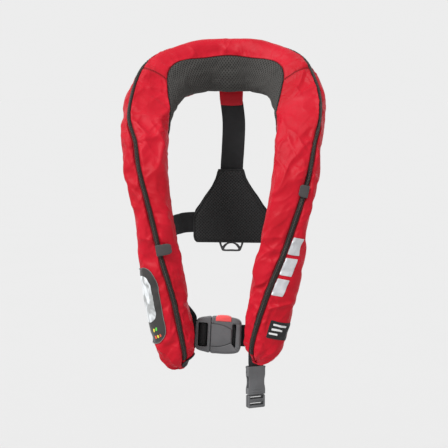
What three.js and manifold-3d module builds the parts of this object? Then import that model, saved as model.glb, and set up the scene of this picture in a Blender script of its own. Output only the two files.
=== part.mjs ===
// An inflatable life jacket, packed and fastened as it is worn. Millimetres, +Z up, front towards -Y.
// The origin is the middle of the neck opening, level with the bottom edge of the collar.
import * as THREE from "three";
import { mergeVertices } from "three/addons/utils/BufferGeometryUtils.js";
import Module from "manifold-3d";

const wasm = await Module();
wasm.setup();

// ---- Driving sizes ----
const COVER = 1.8; // cover fabric with its seams
const SEWN_GAP = 0.4; // free space between neighbouring pieces
const SQUARENESS = 2.5; // 2 gives an oval section, more gives a squarer one
const LEFT_DROP = 12; // the arm with the gas cylinder hangs this much lower
const GRID = 48; // steps along the whole horseshoe
const ZIP_WIDTH = 9;
const BELT_WIDTH = 38;
const WEBBING = 2.2; // thickness of every strap
const CROTCH_WEBBING_WIDTH = 25;
// Down one side, from the back of the neck to the foot of an arm: centre of the tube, the way its front looks,
// half width and half thickness. The rest are places round the section, as shares of its girth: 0 is the middle
// of the front, a quarter the outer or upper edge, a half the middle of the back. `zip` is the zip, `lining`
// where the lining starts beyond it and `hem` where the lining ends.
const STATIONS = [
  { centre: [0, 86, 59], face: [0, -1, 0], half: [50, 26], zip: 0.42, lining: 0.74, hem: 1.06 },
  { centre: [48, 78, 58], face: [-0.2, -0.97, -0.05], half: [49, 26], zip: 0.38, lining: 0.74, hem: 1.05 },
  { centre: [102, 42, 38], face: [-0.43, -0.82, 0.37], half: [47, 27], zip: 0.26, lining: 0.72, hem: 1.042 },
  { centre: [128, -2, 0], face: [-0.3, -0.72, 0.62], half: [46, 27], zip: 0.165, lining: 0.62, hem: 0.895 },
  { centre: [134, -44, -45], face: [-0.1, -0.78, 0.6], half: [42.5, 27], zip: 0.14, lining: 0.5, hem: 0.77 },
  { centre: [131, -70, -82], face: [0, -0.9, 0.4], half: [41, 27], zip: 0.1, lining: 0.39, hem: 0.68 },
  { centre: [125.5, -90, -130], face: [0.1, -0.98, 0.15], half: [39.5, 26.5], zip: 0.068, lining: 0.345, hem: 0.655 },
  { centre: [113.5, -104, -200], face: [0.02, -1, 0.05], half: [38, 26], zip: 0.037, lining: 0.345, hem: 0.655 },
  { centre: [102, -109, -270], face: [-0.04, -1, 0.02], half: [38, 26], zip: 0.01, lining: 0.345, hem: 0.655 },
  { centre: [90, -112, -340], face: [-0.06, -1, 0], half: [38, 26], zip: -0.043, lining: 0.345, hem: 0.655 },
  { centre: [78.5, -114, -400], face: [-0.08, -1, -0.02], half: [36.5, 25], zip: -0.078, lining: 0.345, hem: 0.655 },
  { centre: [71, -114, -432], face: [-0.08, -1, -0.05], half: [28, 20], zip: -0.094, lining: 0.345, hem: 0.655 },
  { centre: [64, -113, -448], face: [-0.08, -1, -0.1], half: [8, 6], zip: -0.094, lining: 0.345, hem: 0.655 },
];
const FOOT = STATIONS.length - 1; // a place down one side is a station number, and FOOT is the arm's end
const SHOULDER_SEAM = 2.5;
const LINING_JOIN = 4;

// ---- Colours ----
const finish = (color, roughness, metalness = 0) => new THREE.MeshStandardMaterial({ color, roughness, metalness });
const RED = finish("#d3152b", 0.55);
const BLACK = finish("#1b1b1c", 0.8);
const MESH = finish("#2f302f", 0.9);
const GREY_PLASTIC = finish("#5a5b5f", 0.45);
const RED_PLASTIC = finish("#e23b45", 0.4);
const DARK_GREY = finish("#47484a", 0.6);
const CLEAR = finish("#dfe4e6", 0.15);
const SILVER = finish("#c3c6cb", 0.4);
const STEEL = finish("#b9bcc0", 0.3, 0.9);
const BLADDER_YELLOW = finish("#d8dd1e", 0.6);
const YELLOW_PLASTIC = finish("#f2c218", 0.4);

const jacket = new THREE.Group();

function add(name, geometry, material, parent = jacket) {
  const mesh = new THREE.Mesh(geometry, material);
  mesh.name = name;
  parent.add(mesh);
  return mesh;
}

// ---- Closed bodies ----
const vec = (x, y, z) => new THREE.Vector3(x, y, z);
const { lerp, smoothstep, degToRad } = THREE.MathUtils;

// A closed body from its points and triangles, turned so that its faces point out.
function closedBody(points, faces) {
  let volume = 0;
  for (let i = 0; i < faces.length; i += 3) {
    const [a, b, c] = [points[faces[i]], points[faces[i + 1]], points[faces[i + 2]]];
    volume += a.dot(b.clone().cross(c));
  }
  const geometry = new THREE.BufferGeometry().setFromPoints(points);
  geometry.setIndex(volume < 0 ? faces.slice().reverse() : faces);
  geometry.computeVertexNormals();
  return geometry;
}

// A sheet with thickness: the space between two surfaces, each a function of u and v from 0 to 1.
function slab(front, back, across, along) {
  const points = [];
  const faces = [];
  const at = (side, i, j) => (side * (across + 1) + i) * (along + 1) + j;
  const quad = (a, b, c, d) => faces.push(a, b, c, a, c, d);
  for (const surface of [front, back]) {
    for (let i = 0; i <= across; i++) {
      for (let j = 0; j <= along; j++) points.push(surface(i / across, j / along));
    }
  }
  for (let i = 0; i < across; i++) {
    for (let j = 0; j < along; j++) {
      quad(at(0, i, j), at(0, i, j + 1), at(0, i + 1, j + 1), at(0, i + 1, j));
      quad(at(1, i, j), at(1, i + 1, j), at(1, i + 1, j + 1), at(1, i, j + 1));
    }
    quad(at(0, i, 0), at(0, i + 1, 0), at(1, i + 1, 0), at(1, i, 0));
    quad(at(0, i, along), at(1, i, along), at(1, i + 1, along), at(0, i + 1, along));
  }
  for (let j = 0; j < along; j++) {
    quad(at(0, 0, j), at(1, 0, j), at(1, 0, j + 1), at(0, 0, j + 1));
    quad(at(0, across, j), at(0, across, j + 1), at(1, across, j + 1), at(1, across, j));
  }
  return closedBody(points, faces);
}

// A solid of rings joined one to the next and closed by a fan at each end.
function loft(rings) {
  const points = rings.flat();
  const count = rings[0].length;
  const faces = [];
  for (let r = 0; r < rings.length - 1; r++) {
    for (let i = 0; i < count; i++) {
      const [a, b] = [r * count + i, r * count + ((i + 1) % count)];
      faces.push(a, b, b + count, a, b + count, a + count);
    }
  }
  [0, rings.length - 1].forEach((r) => {
    const middle = points.push(rings[r].reduce((sum, p) => sum.add(p), vec(0, 0, 0)).divideScalar(count)) - 1;
    for (let i = 0; i < count; i++) {
      const [a, b] = [r * count + i, r * count + ((i + 1) % count)];
      faces.push(...(r ? [a, b, middle] : [b, a, middle]));
    }
  });
  return closedBody(points, faces);
}

// ---- Cutting and joining ----
function solid(geometry) {
  const bare = geometry.index ? geometry.toNonIndexed() : geometry.clone();
  bare.deleteAttribute("normal");
  bare.deleteAttribute("uv");
  const merged = mergeVertices(bare, 1e-4);
  return new wasm.Manifold(
    new wasm.Mesh({
      numProp: 3,
      vertProperties: merged.attributes.position.array,
      triVerts: new Uint32Array(merged.index.array),
    }),
  );
}

function geometryOf(body) {
  const mesh = body.getMesh();
  const geometry = new THREE.BufferGeometry();
  geometry.setAttribute("position", new THREE.BufferAttribute(mesh.vertProperties, 3));
  geometry.setIndex(new THREE.BufferAttribute(mesh.triVerts, 1));
  geometry.computeVertexNormals();
  return geometry;
}

const cut = (body, ...tools) =>
  geometryOf(tools.reduce((left, tool) => left.subtract(solid(tool)), solid(body)));
const join = (first, ...others) =>
  geometryOf(others.reduce((left, other) => left.add(solid(other)), solid(first)));

function box([x0, x1], [y0, y1], [z0, z1]) {
  const geometry = new THREE.BoxGeometry(x1 - x0, y1 - y0, z1 - z0);
  return geometry.translate((x0 + x1) / 2, (y0 + y1) / 2, (z0 + z1) / 2);
}

// A plate with its outline in X and Z, from y0 to y1.
function plate(shape, y0, y1, curveSegments = 5) {
  const geometry = new THREE.ExtrudeGeometry(shape, { depth: y1 - y0, bevelEnabled: false, curveSegments });
  return geometry.rotateX(Math.PI / 2).translate(0, y1, 0);
}

function roundedRectangle(x0, x1, z0, z1, radius) {
  const shape = new THREE.Shape();
  shape.moveTo(x0 + radius, z0);
  shape.lineTo(x1 - radius, z0);
  shape.absarc(x1 - radius, z0 + radius, radius, -Math.PI / 2, 0);
  shape.lineTo(x1, z1 - radius);
  shape.absarc(x1 - radius, z1 - radius, radius, 0, Math.PI / 2);
  shape.lineTo(x0 + radius, z1);
  shape.absarc(x0 + radius, z1 - radius, radius, Math.PI / 2, Math.PI);
  shape.lineTo(x0, z0 + radius);
  shape.absarc(x0 + radius, z0 + radius, radius, Math.PI, 1.5 * Math.PI);
  return shape;
}

// ---- The horseshoe ----
const mirrored = (p) => ({ ...p, centre: [-p.centre[0], p.centre[1], p.centre[2]], face: [-p.face[0], p.face[1], p.face[2]] });
const ROUND = [...STATIONS.slice(1).reverse().map(mirrored), ...STATIONS];
const curveOf = (points) => new THREE.CatmullRomCurve3(points, false, "catmullrom");
const centreLine = curveOf(ROUND.map((p) => vec(...p.centre)));
const faceLine = curveOf(ROUND.map((p) => vec(...p.face)));
const sizeLine = curveOf(ROUND.map((p) => vec(...p.half, 0)));
const seamLine = curveOf(ROUND.map((p) => vec(p.zip, p.lining, p.hem)));
const share = (place) => (place / FOOT + 1) / 2; // places run from -FOOT, the left foot, to FOOT, the right one

// The two arms aren't quite mirrored: the left one is narrower at its outer edge and the right one wider.
function armUneven(place) {
  const reach = Math.abs(place);
  if (place < 0) {
    const share = smoothstep(reach, 5.5, 7) * (1 - smoothstep(reach, 10.4, 11.6));
    return { shift: 2 * share, widen: -2 * share };
  }
  const share = smoothstep(reach, 4.5, 6.5) * (1 - smoothstep(reach, 8.2, 9.8));
  return { shift: 2.2 * share, widen: 1.8 * share };
}

// The tube's centre at a place, with its three directions and half sizes.
function frameAt(place) {
  const t = share(place);
  const along = centreLine.getTangent(t);
  const face = faceLine.getPoint(t);
  face.addScaledVector(along, -face.dot(along)).normalize();
  const centre = centreLine.getPoint(t);
  if (place < 0) centre.z -= LEFT_DROP * smoothstep(-place, LINING_JOIN, FOOT);
  const outward = face.clone().cross(along).normalize();
  const size = sizeLine.getPoint(t);
  const uneven = armUneven(place);
  centre.x += uneven.shift;
  return { centre, along, face, outward, width: size.x + uneven.widen, thickness: size.y };
}

const bend = (x) => Math.sign(x) * Math.abs(x) ** (2 / SQUARENESS);
const sectionPoint = (angle, width, thickness) => [width * bend(Math.sin(angle)), thickness * bend(Math.cos(angle))];

// Angle round the section at equal steps of its girth.
const GIRTH_STEPS = 720;
const { angles: ANGLES, girth: GIRTH } = (() => {
  const fine = 7200;
  const lengths = [0];
  let last = sectionPoint(0, 42, 26.5);
  for (let i = 1; i <= fine; i++) {
    const next = sectionPoint((i / fine) * 2 * Math.PI, 42, 26.5);
    lengths.push(lengths[i - 1] + Math.hypot(next[0] - last[0], next[1] - last[1]));
    last = next;
  }
  const angles = [];
  for (let k = 0, i = 0; k <= GIRTH_STEPS; k++) {
    while (i < fine && lengths[i] < (k / GIRTH_STEPS) * lengths[fine]) i++;
    angles.push((i / fine) * 2 * Math.PI);
  }
  return { angles, girth: lengths[fine] };
})();

function angleAt(round) {
  const turns = Math.floor(round);
  const step = (round - turns) * GIRTH_STEPS;
  const low = Math.floor(step);
  return lerp(ANGLES[low], ANGLES[Math.min(low + 1, GIRTH_STEPS)], step - low);
}

// A point of the tube's skin at a share of the girth, or below the skin by a depth.
function onBody(place, round, depth) {
  const { centre, face, outward, width, thickness } = frameAt(place);
  const [across, out] = sectionPoint(angleAt(round), width - depth, thickness - depth);
  return centre.clone().addScaledVector(outward, across).addScaledVector(face, out);
}


// On both arms the zip lies a little to the viewer's right of its mirrored place.
function zipLean(place) {
  const reach = Math.abs(place);
  if (place < 0) return -0.033 * smoothstep(reach, 3.9, 5.2) * (1 - smoothstep(reach, 8.6, 10.2));
  return 0.042 * smoothstep(reach, 2.4, 3.6) * (1 - smoothstep(reach, 6.6, 8.8));
}

const zipAt = (place) => seamLine.getPoint(share(place)).x + zipLean(place);
const liningEdge = (place) => seamLine.getPoint(share(place)).y;
const hemAt = (place) => seamLine.getPoint(share(place)).z;
const HALF_ZIP = ZIP_WIDTH / 2 / GIRTH;
const GAP = SEWN_GAP / GIRTH;

// A strip of the skin between two lines that wander round it.
function band({ from, to, places, depths, across, along }) {
  const at = (depth) => (u, v) => {
    const place = lerp(places[0], places[1], v);
    return onBody(place, lerp(from(place), to(place), u), depth);
  };
  return slab(at(depths[0]), at(depths[1]), across, along);
}

const outerZipEdge = (place) => zipAt(place) + HALF_ZIP + GAP;
const innerZipEdge = (place) => zipAt(place) - HALF_ZIP - GAP;

const SEAM_HALF = 0.006; // half the free space at a cross seam, in places
const stepsBetween = (a, b) => Math.round(((b - a) / (2 * FOOT)) * GRID);

function coverPanels() {
  const panels = { left: [-FOOT, -SHOULDER_SEAM], collar: [-SHOULDER_SEAM, SHOULDER_SEAM], right: [SHOULDER_SEAM, FOOT] };
  for (const [name, [a, b]] of Object.entries(panels)) {
    const places = [a + SEAM_HALF, b - SEAM_HALF];
    const common = { places, depths: [0, COVER], along: stepsBetween(a, b) };
    const outer = band({ ...common, from: outerZipEdge, to: (p) => liningEdge(p) - GAP, across: 8 });
    const inner = band({ ...common, from: innerZipEdge, to: (p) => hemAt(p) - 1 + GAP, across: 8 });
    add("cover_outer_" + name, name === "left" ? cut(outer, windowPatch(WINDOW.opening, -6, 8)) : outer, RED);
    add("cover_inner_" + name, inner, RED);
  }
}

function lining() {
  const common = { from: liningEdge, to: hemAt, depths: [0, COVER] };
  const pieces = { backing_left: [-FOOT, -LINING_JOIN], collar_mesh_liner: [-LINING_JOIN, LINING_JOIN], backing_right: [LINING_JOIN, FOOT] };
  for (const [name, [a, b]] of Object.entries(pieces)) {
    const places = [a + SEAM_HALF, b - SEAM_HALF];
    const material = name === "collar_mesh_liner" ? MESH : BLACK;
    add(name, band({ ...common, places, across: 6, along: stepsBetween(a, b) }), material);
  }
}

function burstZip() {
  const edge = (side) => (place) => zipAt(place) + side * HALF_ZIP;
  add("burst_zip", band({ from: edge(-1), to: edge(1), places: [-FOOT, FOOT], depths: [-0.6, COVER], across: 1, along: GRID }), BLACK);
}

// ---- Window in the left arm ----
// Places along the arm and shares of the girth round its outer edge; the ends are rounded.
const WINDOW = {
  frame: { places: [-9.98, -8.1], round: [0.045, 0.332] },
  opening: { places: [-9.78, -8.3], round: [0.095, 0.292] },
};
const WINDOW_MIN = 0.3; // the rounded ends narrow to this share

function windowPatch({ places, round: [a, b] }, top, bottom) {
  const at = (depth) => (u, v) => {
    const end = Math.max(0, Math.abs(2 * v - 1) - 0.55) / 0.45;
    const narrow = lerp(WINDOW_MIN, 1, Math.sqrt(1 - end * end));
    return onBody(lerp(...places, v), (a + b) / 2 + (u - 0.5) * (b - a) * narrow, depth);
  };
  return slab(at(top), at(bottom), 8, 14);
}

function inspectionWindow() {
  const frame = windowPatch(WINDOW.frame, -3.2, -1.4);
  add("window_frame", cut(frame, windowPatch(WINDOW.opening, -8, 8)), DARK_GREY);
  const [a, b] = WINDOW.opening.places;
  const [c, d] = WINDOW.opening.round;
  add("window_lens", windowPatch({ places: [a + 0.02, b - 0.02], round: [c + 0.004, d - 0.004] }, -1, 0.6), CLEAR);
}

// ---- Patches on the cover ----
// Reflective bars and the woven label lie on the outer side of the right arm's zip.
const PATCH_LIFT = 0.8;

function coverPatch(places, [from, to], thickness) {
  const depths = [-PATCH_LIFT - thickness, -PATCH_LIFT];
  return band({ from, to, places, depths, across: 4, along: 2 });
}

const REFLECTORS = { first: 7.43, pitch: 0.5, length: 0.42, fromZip: [0.031, 0.126] };
const LABEL = { places: [9.47, 10.0], round: [0.045, 0.235] };

function coverPatches() {
  for (let i = 0; i < 3; i++) {
    const start = REFLECTORS.first + i * REFLECTORS.pitch;
    const edges = REFLECTORS.fromZip.map((offset) => (place) => zipAt(place) + offset);
    add("reflector_bar_" + (i + 1), coverPatch([start, start + REFLECTORS.length], edges, 0.5), SILVER);
  }
  add("woven_label", coverPatch(LABEL.places, LABEL.round.map((round) => () => round), 0.8), BLACK);
}

// A group that stands on the cover: X along the horseshoe, Y towards the outer edge, Z away from the cover.
function standOn(place, round, proud) {
  const surface = onBody(place, round, -proud);
  const along = onBody(place + 0.05, round, -proud).sub(surface).normalize();
  const across = onBody(place, round + 0.005, -proud).sub(surface).normalize();
  const out = along.clone().cross(across).normalize();
  if (out.dot(surface.clone().sub(frameAt(place).centre)) < 0) out.negate();
  across.crossVectors(out, along).normalize();
  const group = new THREE.Group();
  group.setRotationFromMatrix(new THREE.Matrix4().makeBasis(along, across, out));
  group.position.copy(surface);
  jacket.add(group);
  return group;
}

// ---- Zip slider and pull tabs ----
const SLIDER_PLACE = -7.75;
const TAB = { thickness: 1.6, proud: 4.6 };

function zipParts() {
  const onZip = (place, proud) => standOn(place, zipAt(place), proud);
  const slider = plate(roundedRectangle(-6, 6, -3.4, 3.4, 2), 0, 2.2).rotateX(-Math.PI / 2).translate(0, 0, 2.2);
  add("zip_slider", slider, BLACK, onZip(SLIDER_PLACE, 1.8));
  tab("zip_tab_left", onZip(SLIDER_PLACE, TAB.proud), 27, 19);
  tab("zip_tab_right", onZip(6.4, TAB.proud - 2), 17, 21);
}

// A tab sewn down along its zip edge, with a free rounded end towards the inner edge of the arm.
function tab(name, group, reach, width) {
  const shape = new THREE.Shape();
  const radius = width * 0.3;
  shape.moveTo(-width / 2, 5);
  shape.lineTo(-width / 2, 5 - reach + radius);
  shape.absarc(-width / 2 + radius, 5 - reach + radius, radius, Math.PI, 1.5 * Math.PI);
  shape.absarc(width / 2 - radius, 5 - reach + radius, radius, 1.5 * Math.PI, 2 * Math.PI);
  shape.lineTo(width / 2, 5);
  add(name, new THREE.ExtrudeGeometry(shape, { depth: TAB.thickness, bevelEnabled: false, curveSegments: 4 }), DARK_GREY, group);
}

// ---- Straps ----
// Webbing along a curve. `spread` gives the direction of its width at a share of its length.
function webbing(points, width, spread, steps) {
  const curve = curveOf(points.map((p) => vec(...p)));
  const at = (side) => (u, v) => {
    const along = curve.getTangent(v);
    const across = spread(v, along, curve.getPoint(v));
    const out = across.clone().cross(along).normalize();
    return curve.getPoint(v).addScaledVector(across, (u - 0.5) * width).addScaledVector(out, (side * WEBBING) / 2);
  };
  return slab(at(1), at(-1), 1, steps);
}

const TORSO_AXIS_Y = 25;
// Width direction of webbing that lies flat against the wearer's trunk.
function againstTrunk(_, along, point) {
  const outward = vec(point.x * 0.8, point.y - TORSO_AXIS_Y, 0);
  return along.clone().cross(outward).normalize();
}

const BELT = [
  [60, -65.5, -408],
  [90, -65.5, -405],
  [100, -58, -396],
  [104, -26, -360],
  [107, 24, -290],
  [105, 74, -243],
  [93, 106, -235],
  [71, 120.7, -233.5],
  [36, 121, -233],
];
const PAD = { front: [113.5, 118.5], rear: [124.1, 126.1], top: -135, foot: -269.5, rearFoot: -253 };

function straps() {
  const leftHalf = BELT.map(([x, y, z]) => [-x, y, z]);
  add("waist_belt", webbing([...leftHalf, ...BELT.slice().reverse()], BELT_WIDTH, againstTrunk, 36), BLACK);

  const sideways = () => vec(1, 0, 0);
  const strap = [[0, 111.2, 13], [0, 108.6, -4], [0, 107.2, -16], [0, 109.4, -60], [0, 113.5, -100], [0, 120.8, -133],
    [0, 121, -168]];
  add("back_strap", webbing(strap, 40, sideways, 14), BLACK);

  // The anchor tab is sewn on the collar's lower rear, hangs down from it and narrows to the strap.
  const profile = [[113.2, 38], [111.4, 24], [108.2, 6], [105.4, -15]];
  const anchor = (offset) => (u, v) => {
    const k = Math.min(2, Math.floor(v * 3 + 1e-9));
    const [from, to, w] = [profile[k], profile[k + 1], v * 3 - k];
    const half = lerp(24, 20.5, v);
    return vec(lerp(-half, half, u), lerp(from[0], to[0], w) + offset, lerp(from[1], to[1], w));
  };
  add("strap_anchor_tab", slab(anchor(0), anchor(-1.6), 1, 3), RED);
}

function padOutline(foot) {
  const [[x0, z0], [x1, z1], [x2, z2], [x3, z3]] = [[23, PAD.top], [32, -172], [57, -205], [68.8, -223]];
  const shape = new THREE.Shape();
  shape.moveTo(-x0, z0);
  shape.lineTo(x0, z0);
  shape.quadraticCurveTo(x1, z1, x2, z2);
  shape.lineTo(x3, z3);
  shape.lineTo(x3, foot + 6);
  shape.lineTo(x3 - 5, foot);
  shape.lineTo(-x3 + 5, foot);
  shape.lineTo(-x3, foot + 6);
  shape.lineTo(-x3, z3);
  shape.lineTo(-x2, z2);
  shape.quadraticCurveTo(-x1, z1, -x0, z0);
  return shape;
}

function backPad() {
  add("back_pad", plate(padOutline(PAD.foot), ...PAD.front), BLACK);
  add("back_pad_cover", plate(padOutline(PAD.rearFoot), ...PAD.rear), BLACK);
}

// ---- Ring for the crotch strap, under the back pad ----
const RING = { y: 123.1, axisZ: -264, bar: 3.6, topHalf: 25, footHalf: 17.5, foot: -288 };

function strapRing() {
  const top = RING.axisZ + RING.bar / 2;
  const { bar, foot, topHalf, footHalf } = RING;
  const shape = new THREE.Shape();
  shape.moveTo(-topHalf, top);
  shape.lineTo(-footHalf - 2, foot + 6);
  shape.quadraticCurveTo(-footHalf, foot, -footHalf + 6, foot);
  shape.lineTo(footHalf - 6, foot);
  shape.quadraticCurveTo(footHalf, foot, footHalf + 2, foot + 6);
  shape.lineTo(topHalf, top);
  const crown = -273; // underside of the arch
  const slot = new THREE.Path();
  slot.moveTo(-13, foot + bar);
  slot.lineTo(13, foot + bar);
  slot.quadraticCurveTo(9, crown, 0, crown);
  slot.quadraticCurveTo(-9, crown, -13, foot + bar);
  const eye = new THREE.Path();
  eye.moveTo(-topHalf + 4.6, top - bar);
  eye.lineTo(-16.5, foot + 9);
  eye.quadraticCurveTo(-9, crown + 2.4, 0, crown + 2.4);
  eye.quadraticCurveTo(9, crown + 2.4, 16.5, foot + 9);
  eye.lineTo(topHalf - 4.6, top - bar);
  shape.holes.push(slot, eye);
  add("strap_ring", plate(shape, RING.y - bar / 2, RING.y + bar / 2), DARK_GREY);

  // The tab that holds the ring: a loop of tape round its top bar.
  const loop = new THREE.Shape();
  const [inner, outer, tail] = [2.9, 4.1, 6];
  loop.moveTo(-outer, tail);
  loop.lineTo(-outer, 0);
  loop.absarc(0, 0, outer, Math.PI, 2 * Math.PI);
  loop.lineTo(outer, tail);
  loop.lineTo(inner, tail);
  loop.lineTo(inner, 0);
  loop.absarc(0, 0, inner, 0, -Math.PI, true);
  loop.lineTo(-inner, tail);
  return loop;
}

// ---- Belt sleeves behind the feet of the arms ----
const SLEEVES = {
  left: { side: -1, middle: -404, half: 54, footY: -90 },
  right: { side: 1, middle: -398, half: 48, footY: -83.6 },
};
const SLEEVE = { edgeY: -83.6, bellyY: -61, thickness: 1.4 };

function beltSleeves() {
  for (const [name, { side, middle, half, footY }] of Object.entries(SLEEVES)) {
    const at = (offset) => (u, v) => {
      const reach = Math.abs(2 * v - 1);
      const belly = 1 - smoothstep(reach, 0.78, 1);
      const inner = lerp(60, 42, 1 - smoothstep(reach, 0.4, 1));
      const edgeY = v > 0.5 ? footY : SLEEVE.edgeY;
      return vec(side * lerp(inner, 84, u), lerp(edgeY, SLEEVE.bellyY, belly) + offset, middle + (1 - 2 * v) * half);
    };
    add("belt_sleeve_" + name, slab(at(0), at(-SLEEVE.thickness), 2, 14), BLACK);
  }
}

// ---- Waist buckle ----
const BUCKLE = { place: [-3.5, -80, -409], tilt: degToRad(3), thickness: 14, split: -13.5, right: 39.5, left: -40 };

function waistBuckle() {
  const group = new THREE.Group();
  group.position.set(...BUCKLE.place);
  group.rotation.y = BUCKLE.tilt;
  jacket.add(group);
  const { split, right, left } = BUCKLE;
  const y = BUCKLE.thickness / 2;

  const female = new THREE.Shape();
  female.moveTo(split + SEWN_GAP, -30.5);
  female.quadraticCurveTo(14, -34, right - 9, -30);
  female.quadraticCurveTo(right, -29, right, -19);
  female.lineTo(right, 19);
  female.quadraticCurveTo(right, 29, right - 9, 30);
  female.quadraticCurveTo(14, 34, split + SEWN_GAP, 30.5);
  const socket = box([split - 1, 9.5], [-3.4, 3.4], [-16.5, 16.5]);
  const rightSlot = box([23.5, 30.5], [-20, 20], [-21, 21]);
  const buttonWell = box([-6.5, 22.5], [-y - 1, 4.5], [20.5, 40]);
  add("buckle_female", cut(plate(female, -y, y), socket, rightSlot, buttonWell), GREY_PLASTIC, group);

  const male = new THREE.Shape();
  male.moveTo(split, -30.5);
  male.lineTo(split, 30.5);
  male.quadraticCurveTo(-28, 30, left + 6, 27);
  male.quadraticCurveTo(left, 26, left, 19);
  male.lineTo(left, -19);
  male.quadraticCurveTo(left, -26, left + 6, -27);
  male.quadraticCurveTo(-28, -30, split, -30.5);
  const leftSlot = box([-35.5, -18.5], [-20, 20], [-21, 21]);
  const tongue = cut(box([split - 1, 8.5], [-2.8, 2.8], [-15.8, 15.8]), box([-4, 4], [-9, 9], [9, 20]));
  add("buckle_male", join(cut(plate(male, -y, y), leftSlot), tongue), GREY_PLASTIC, group);

  // The button stands a little proud of the top edge and its spring pushes it back up.
  const press = new THREE.Shape();
  press.moveTo(-6, 24.6);
  press.lineTo(22, 24.6);
  press.lineTo(22, 32.6);
  press.quadraticCurveTo(8, 35.4, -6, 33.2);
  add("buckle_button", plate(press, -y + 0.6, 4), RED_PLASTIC, group);
  const spring = new THREE.CylinderGeometry(2.6, 2.6, 3, 12).rotateX(Math.PI / 2).translate(8, -1, 22.4);
  add("button_spring", spring, STEEL, group);

  add("belt_left_front", beltStub(-1, [-32, -21.5], -64), BLACK, group);
  add("belt_right_front", beltStub(1, [25, 29], 78), BLACK, group);
}

// The end of the waist belt at one half of the buckle: it lies behind the half, turns forward through the slot
// and folds back on itself. Its profile is in X and Y.
function beltStub(side, slot, tail) {
  const [behind, thick, frontY] = [7.3, WEBBING, -2.5];
  const [near, far] = side < 0 ? slot : [slot[1], slot[0]];
  const shape = new THREE.Shape();
  shape.moveTo(tail, behind);
  shape.lineTo(near, behind);
  shape.lineTo(near, frontY);
  shape.lineTo(far, frontY);
  shape.lineTo(far, behind + thick);
  shape.lineTo(tail, behind + thick);
  const geometry = new THREE.ExtrudeGeometry(shape, { depth: BELT_WIDTH, bevelEnabled: false });
  return geometry.translate(0, 0, -BELT_WIDTH / 2);
}

// ---- Crotch strap and its side-release buckle ----
const CROTCH = { x: 61.5, y: -87.5, pivotZ: -450, buckleTop: -460.5, join: -510.5, foot: -533.5, turn: degToRad(30) };

function crotchStrap() {
  const { x, y, pivotZ, buckleTop, join: joinZ, foot, turn } = CROTCH;
  add("crotch_strap_anchor", box([x - 12.5, x + 12.5], [y - 1.1, y + 1.1], [pivotZ + 1.3, -420]), BLACK);

  const twist = (v) => vec(Math.cos(turn * smoothstep(v, 0, 1)), Math.sin(turn * smoothstep(v, 0, 1)), 0);
  const strap = webbing([[x, y, pivotZ], [x, y, buckleTop + 6], [x, y, buckleTop - 4]], CROTCH_WEBBING_WIDTH, twist, 5);
  add("crotch_webbing", strap, BLACK);

  const group = new THREE.Group();
  group.position.set(x, y, 0);
  group.rotation.z = turn;
  jacket.add(group);
  const shell = plate(roundedRectangle(-16, 16, joinZ + SEWN_GAP, buckleTop, 2.5), -6, 6, 3);
  const cavity = box([-12.8, 12.8], [-3.6, 3.6], [joinZ - 1, -474]);
  const sideWindows = box([-20, 20], [-3.6, 3.6], [-498, -478]);
  const webSlot = box([-13.5, 13.5], [-2.4, 2.4], [-466, buckleTop + 1]);
  add("crotch_buckle_female", cut(shell, cavity, sideWindows, webSlot), GREY_PLASTIC, group);

  const base = plate(roundedRectangle(-16, 16, foot, joinZ, 2.5), -5.5, 5.5, 3);
  const slots = [[-517.6, -512.8], [-528.6, -523.8]].map((z) => box([-12.5, 12.5], [-9, 9], z));
  const guide = box([-3, 3], [-3, 3], [joinZ - 1, -476]);
  const prongs = [-1, 1].map((side) => join(prong(side, joinZ)));
  add("crotch_buckle_male", join(cut(base, ...slots), guide, ...prongs), GREY_PLASTIC, group);
}

// One springy side arm of the male half, whose head fills the side window.
function prong(side, joinZ) {
  const arm = new THREE.Shape();
  arm.moveTo(side * 9, joinZ - 1);
  arm.lineTo(side * 11, joinZ - 1);
  arm.lineTo(side * 11, -497.5);
  arm.lineTo(side * 12.4, -496.5);
  arm.lineTo(side * 12.4, -489);
  arm.lineTo(side * 11, -478.6);
  arm.lineTo(side * 9, -478.6);
  return plate(arm, -3, 3);
}

// ---- Inside the left arm: inflator and gas cylinder ----
// Z runs up the arm, X towards its outer edge and -Y out of its face.
function insideArm(place) {
  const { centre, along, face, outward } = frameAt(place);
  const up = along.clone().multiplyScalar(-Math.sign(place));
  const back = face.clone().negate();
  const right = back.clone().cross(up).normalize();
  const group = new THREE.Group();
  group.setRotationFromMatrix(new THREE.Matrix4().makeBasis(right, back, up));
  group.position.copy(centre);
  jacket.add(group);
  return { group, towardsOuter: Math.sign(right.dot(outward)) };
}

const turned = (profile, segments = 16) =>
  new THREE.LatheGeometry(profile.map(([r, z]) => new THREE.Vector2(r, z)), segments).rotateX(Math.PI / 2);

function inflator() {
  const { group, towardsOuter: side } = insideArm(-9.1);
  const cylinder = [[0, 3], [5, 3], [5, 11.6], [8, 14.6], [14.5, 24], [14.5, 104], [11, 112], [0, 114]];
  add("gas_cylinder", turned(cylinder), STEEL, group);
  const body = cut(box([-13, 13], [-12, 12], [-40, 11]), turned([[0, 2.2], [5.6, 2.2], [5.6, 12], [0, 12]], 16));
  const waterInlet = turned([[0, -41], [8, -41], [8, -34.6], [0, -34.6]]);
  add("inflator_body", cut(body, waterInlet), DARK_GREY, group);
  add("automatic_capsule", turned([[0, -52], [11, -52], [12.4, -49], [12.4, -40.6], [7.4, -40.6], [7.4, -35.2], [0, -35.2]]), YELLOW_PLASTIC, group);
  // The lever lies along the body on the inner side and swings about its lower end.
  const lever = box([-2, 2], [-4, 4], [-30, 2]).translate(-side * 16, 0, 0);
  add("manual_lever", lever, YELLOW_PLASTIC, group);
}

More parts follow.
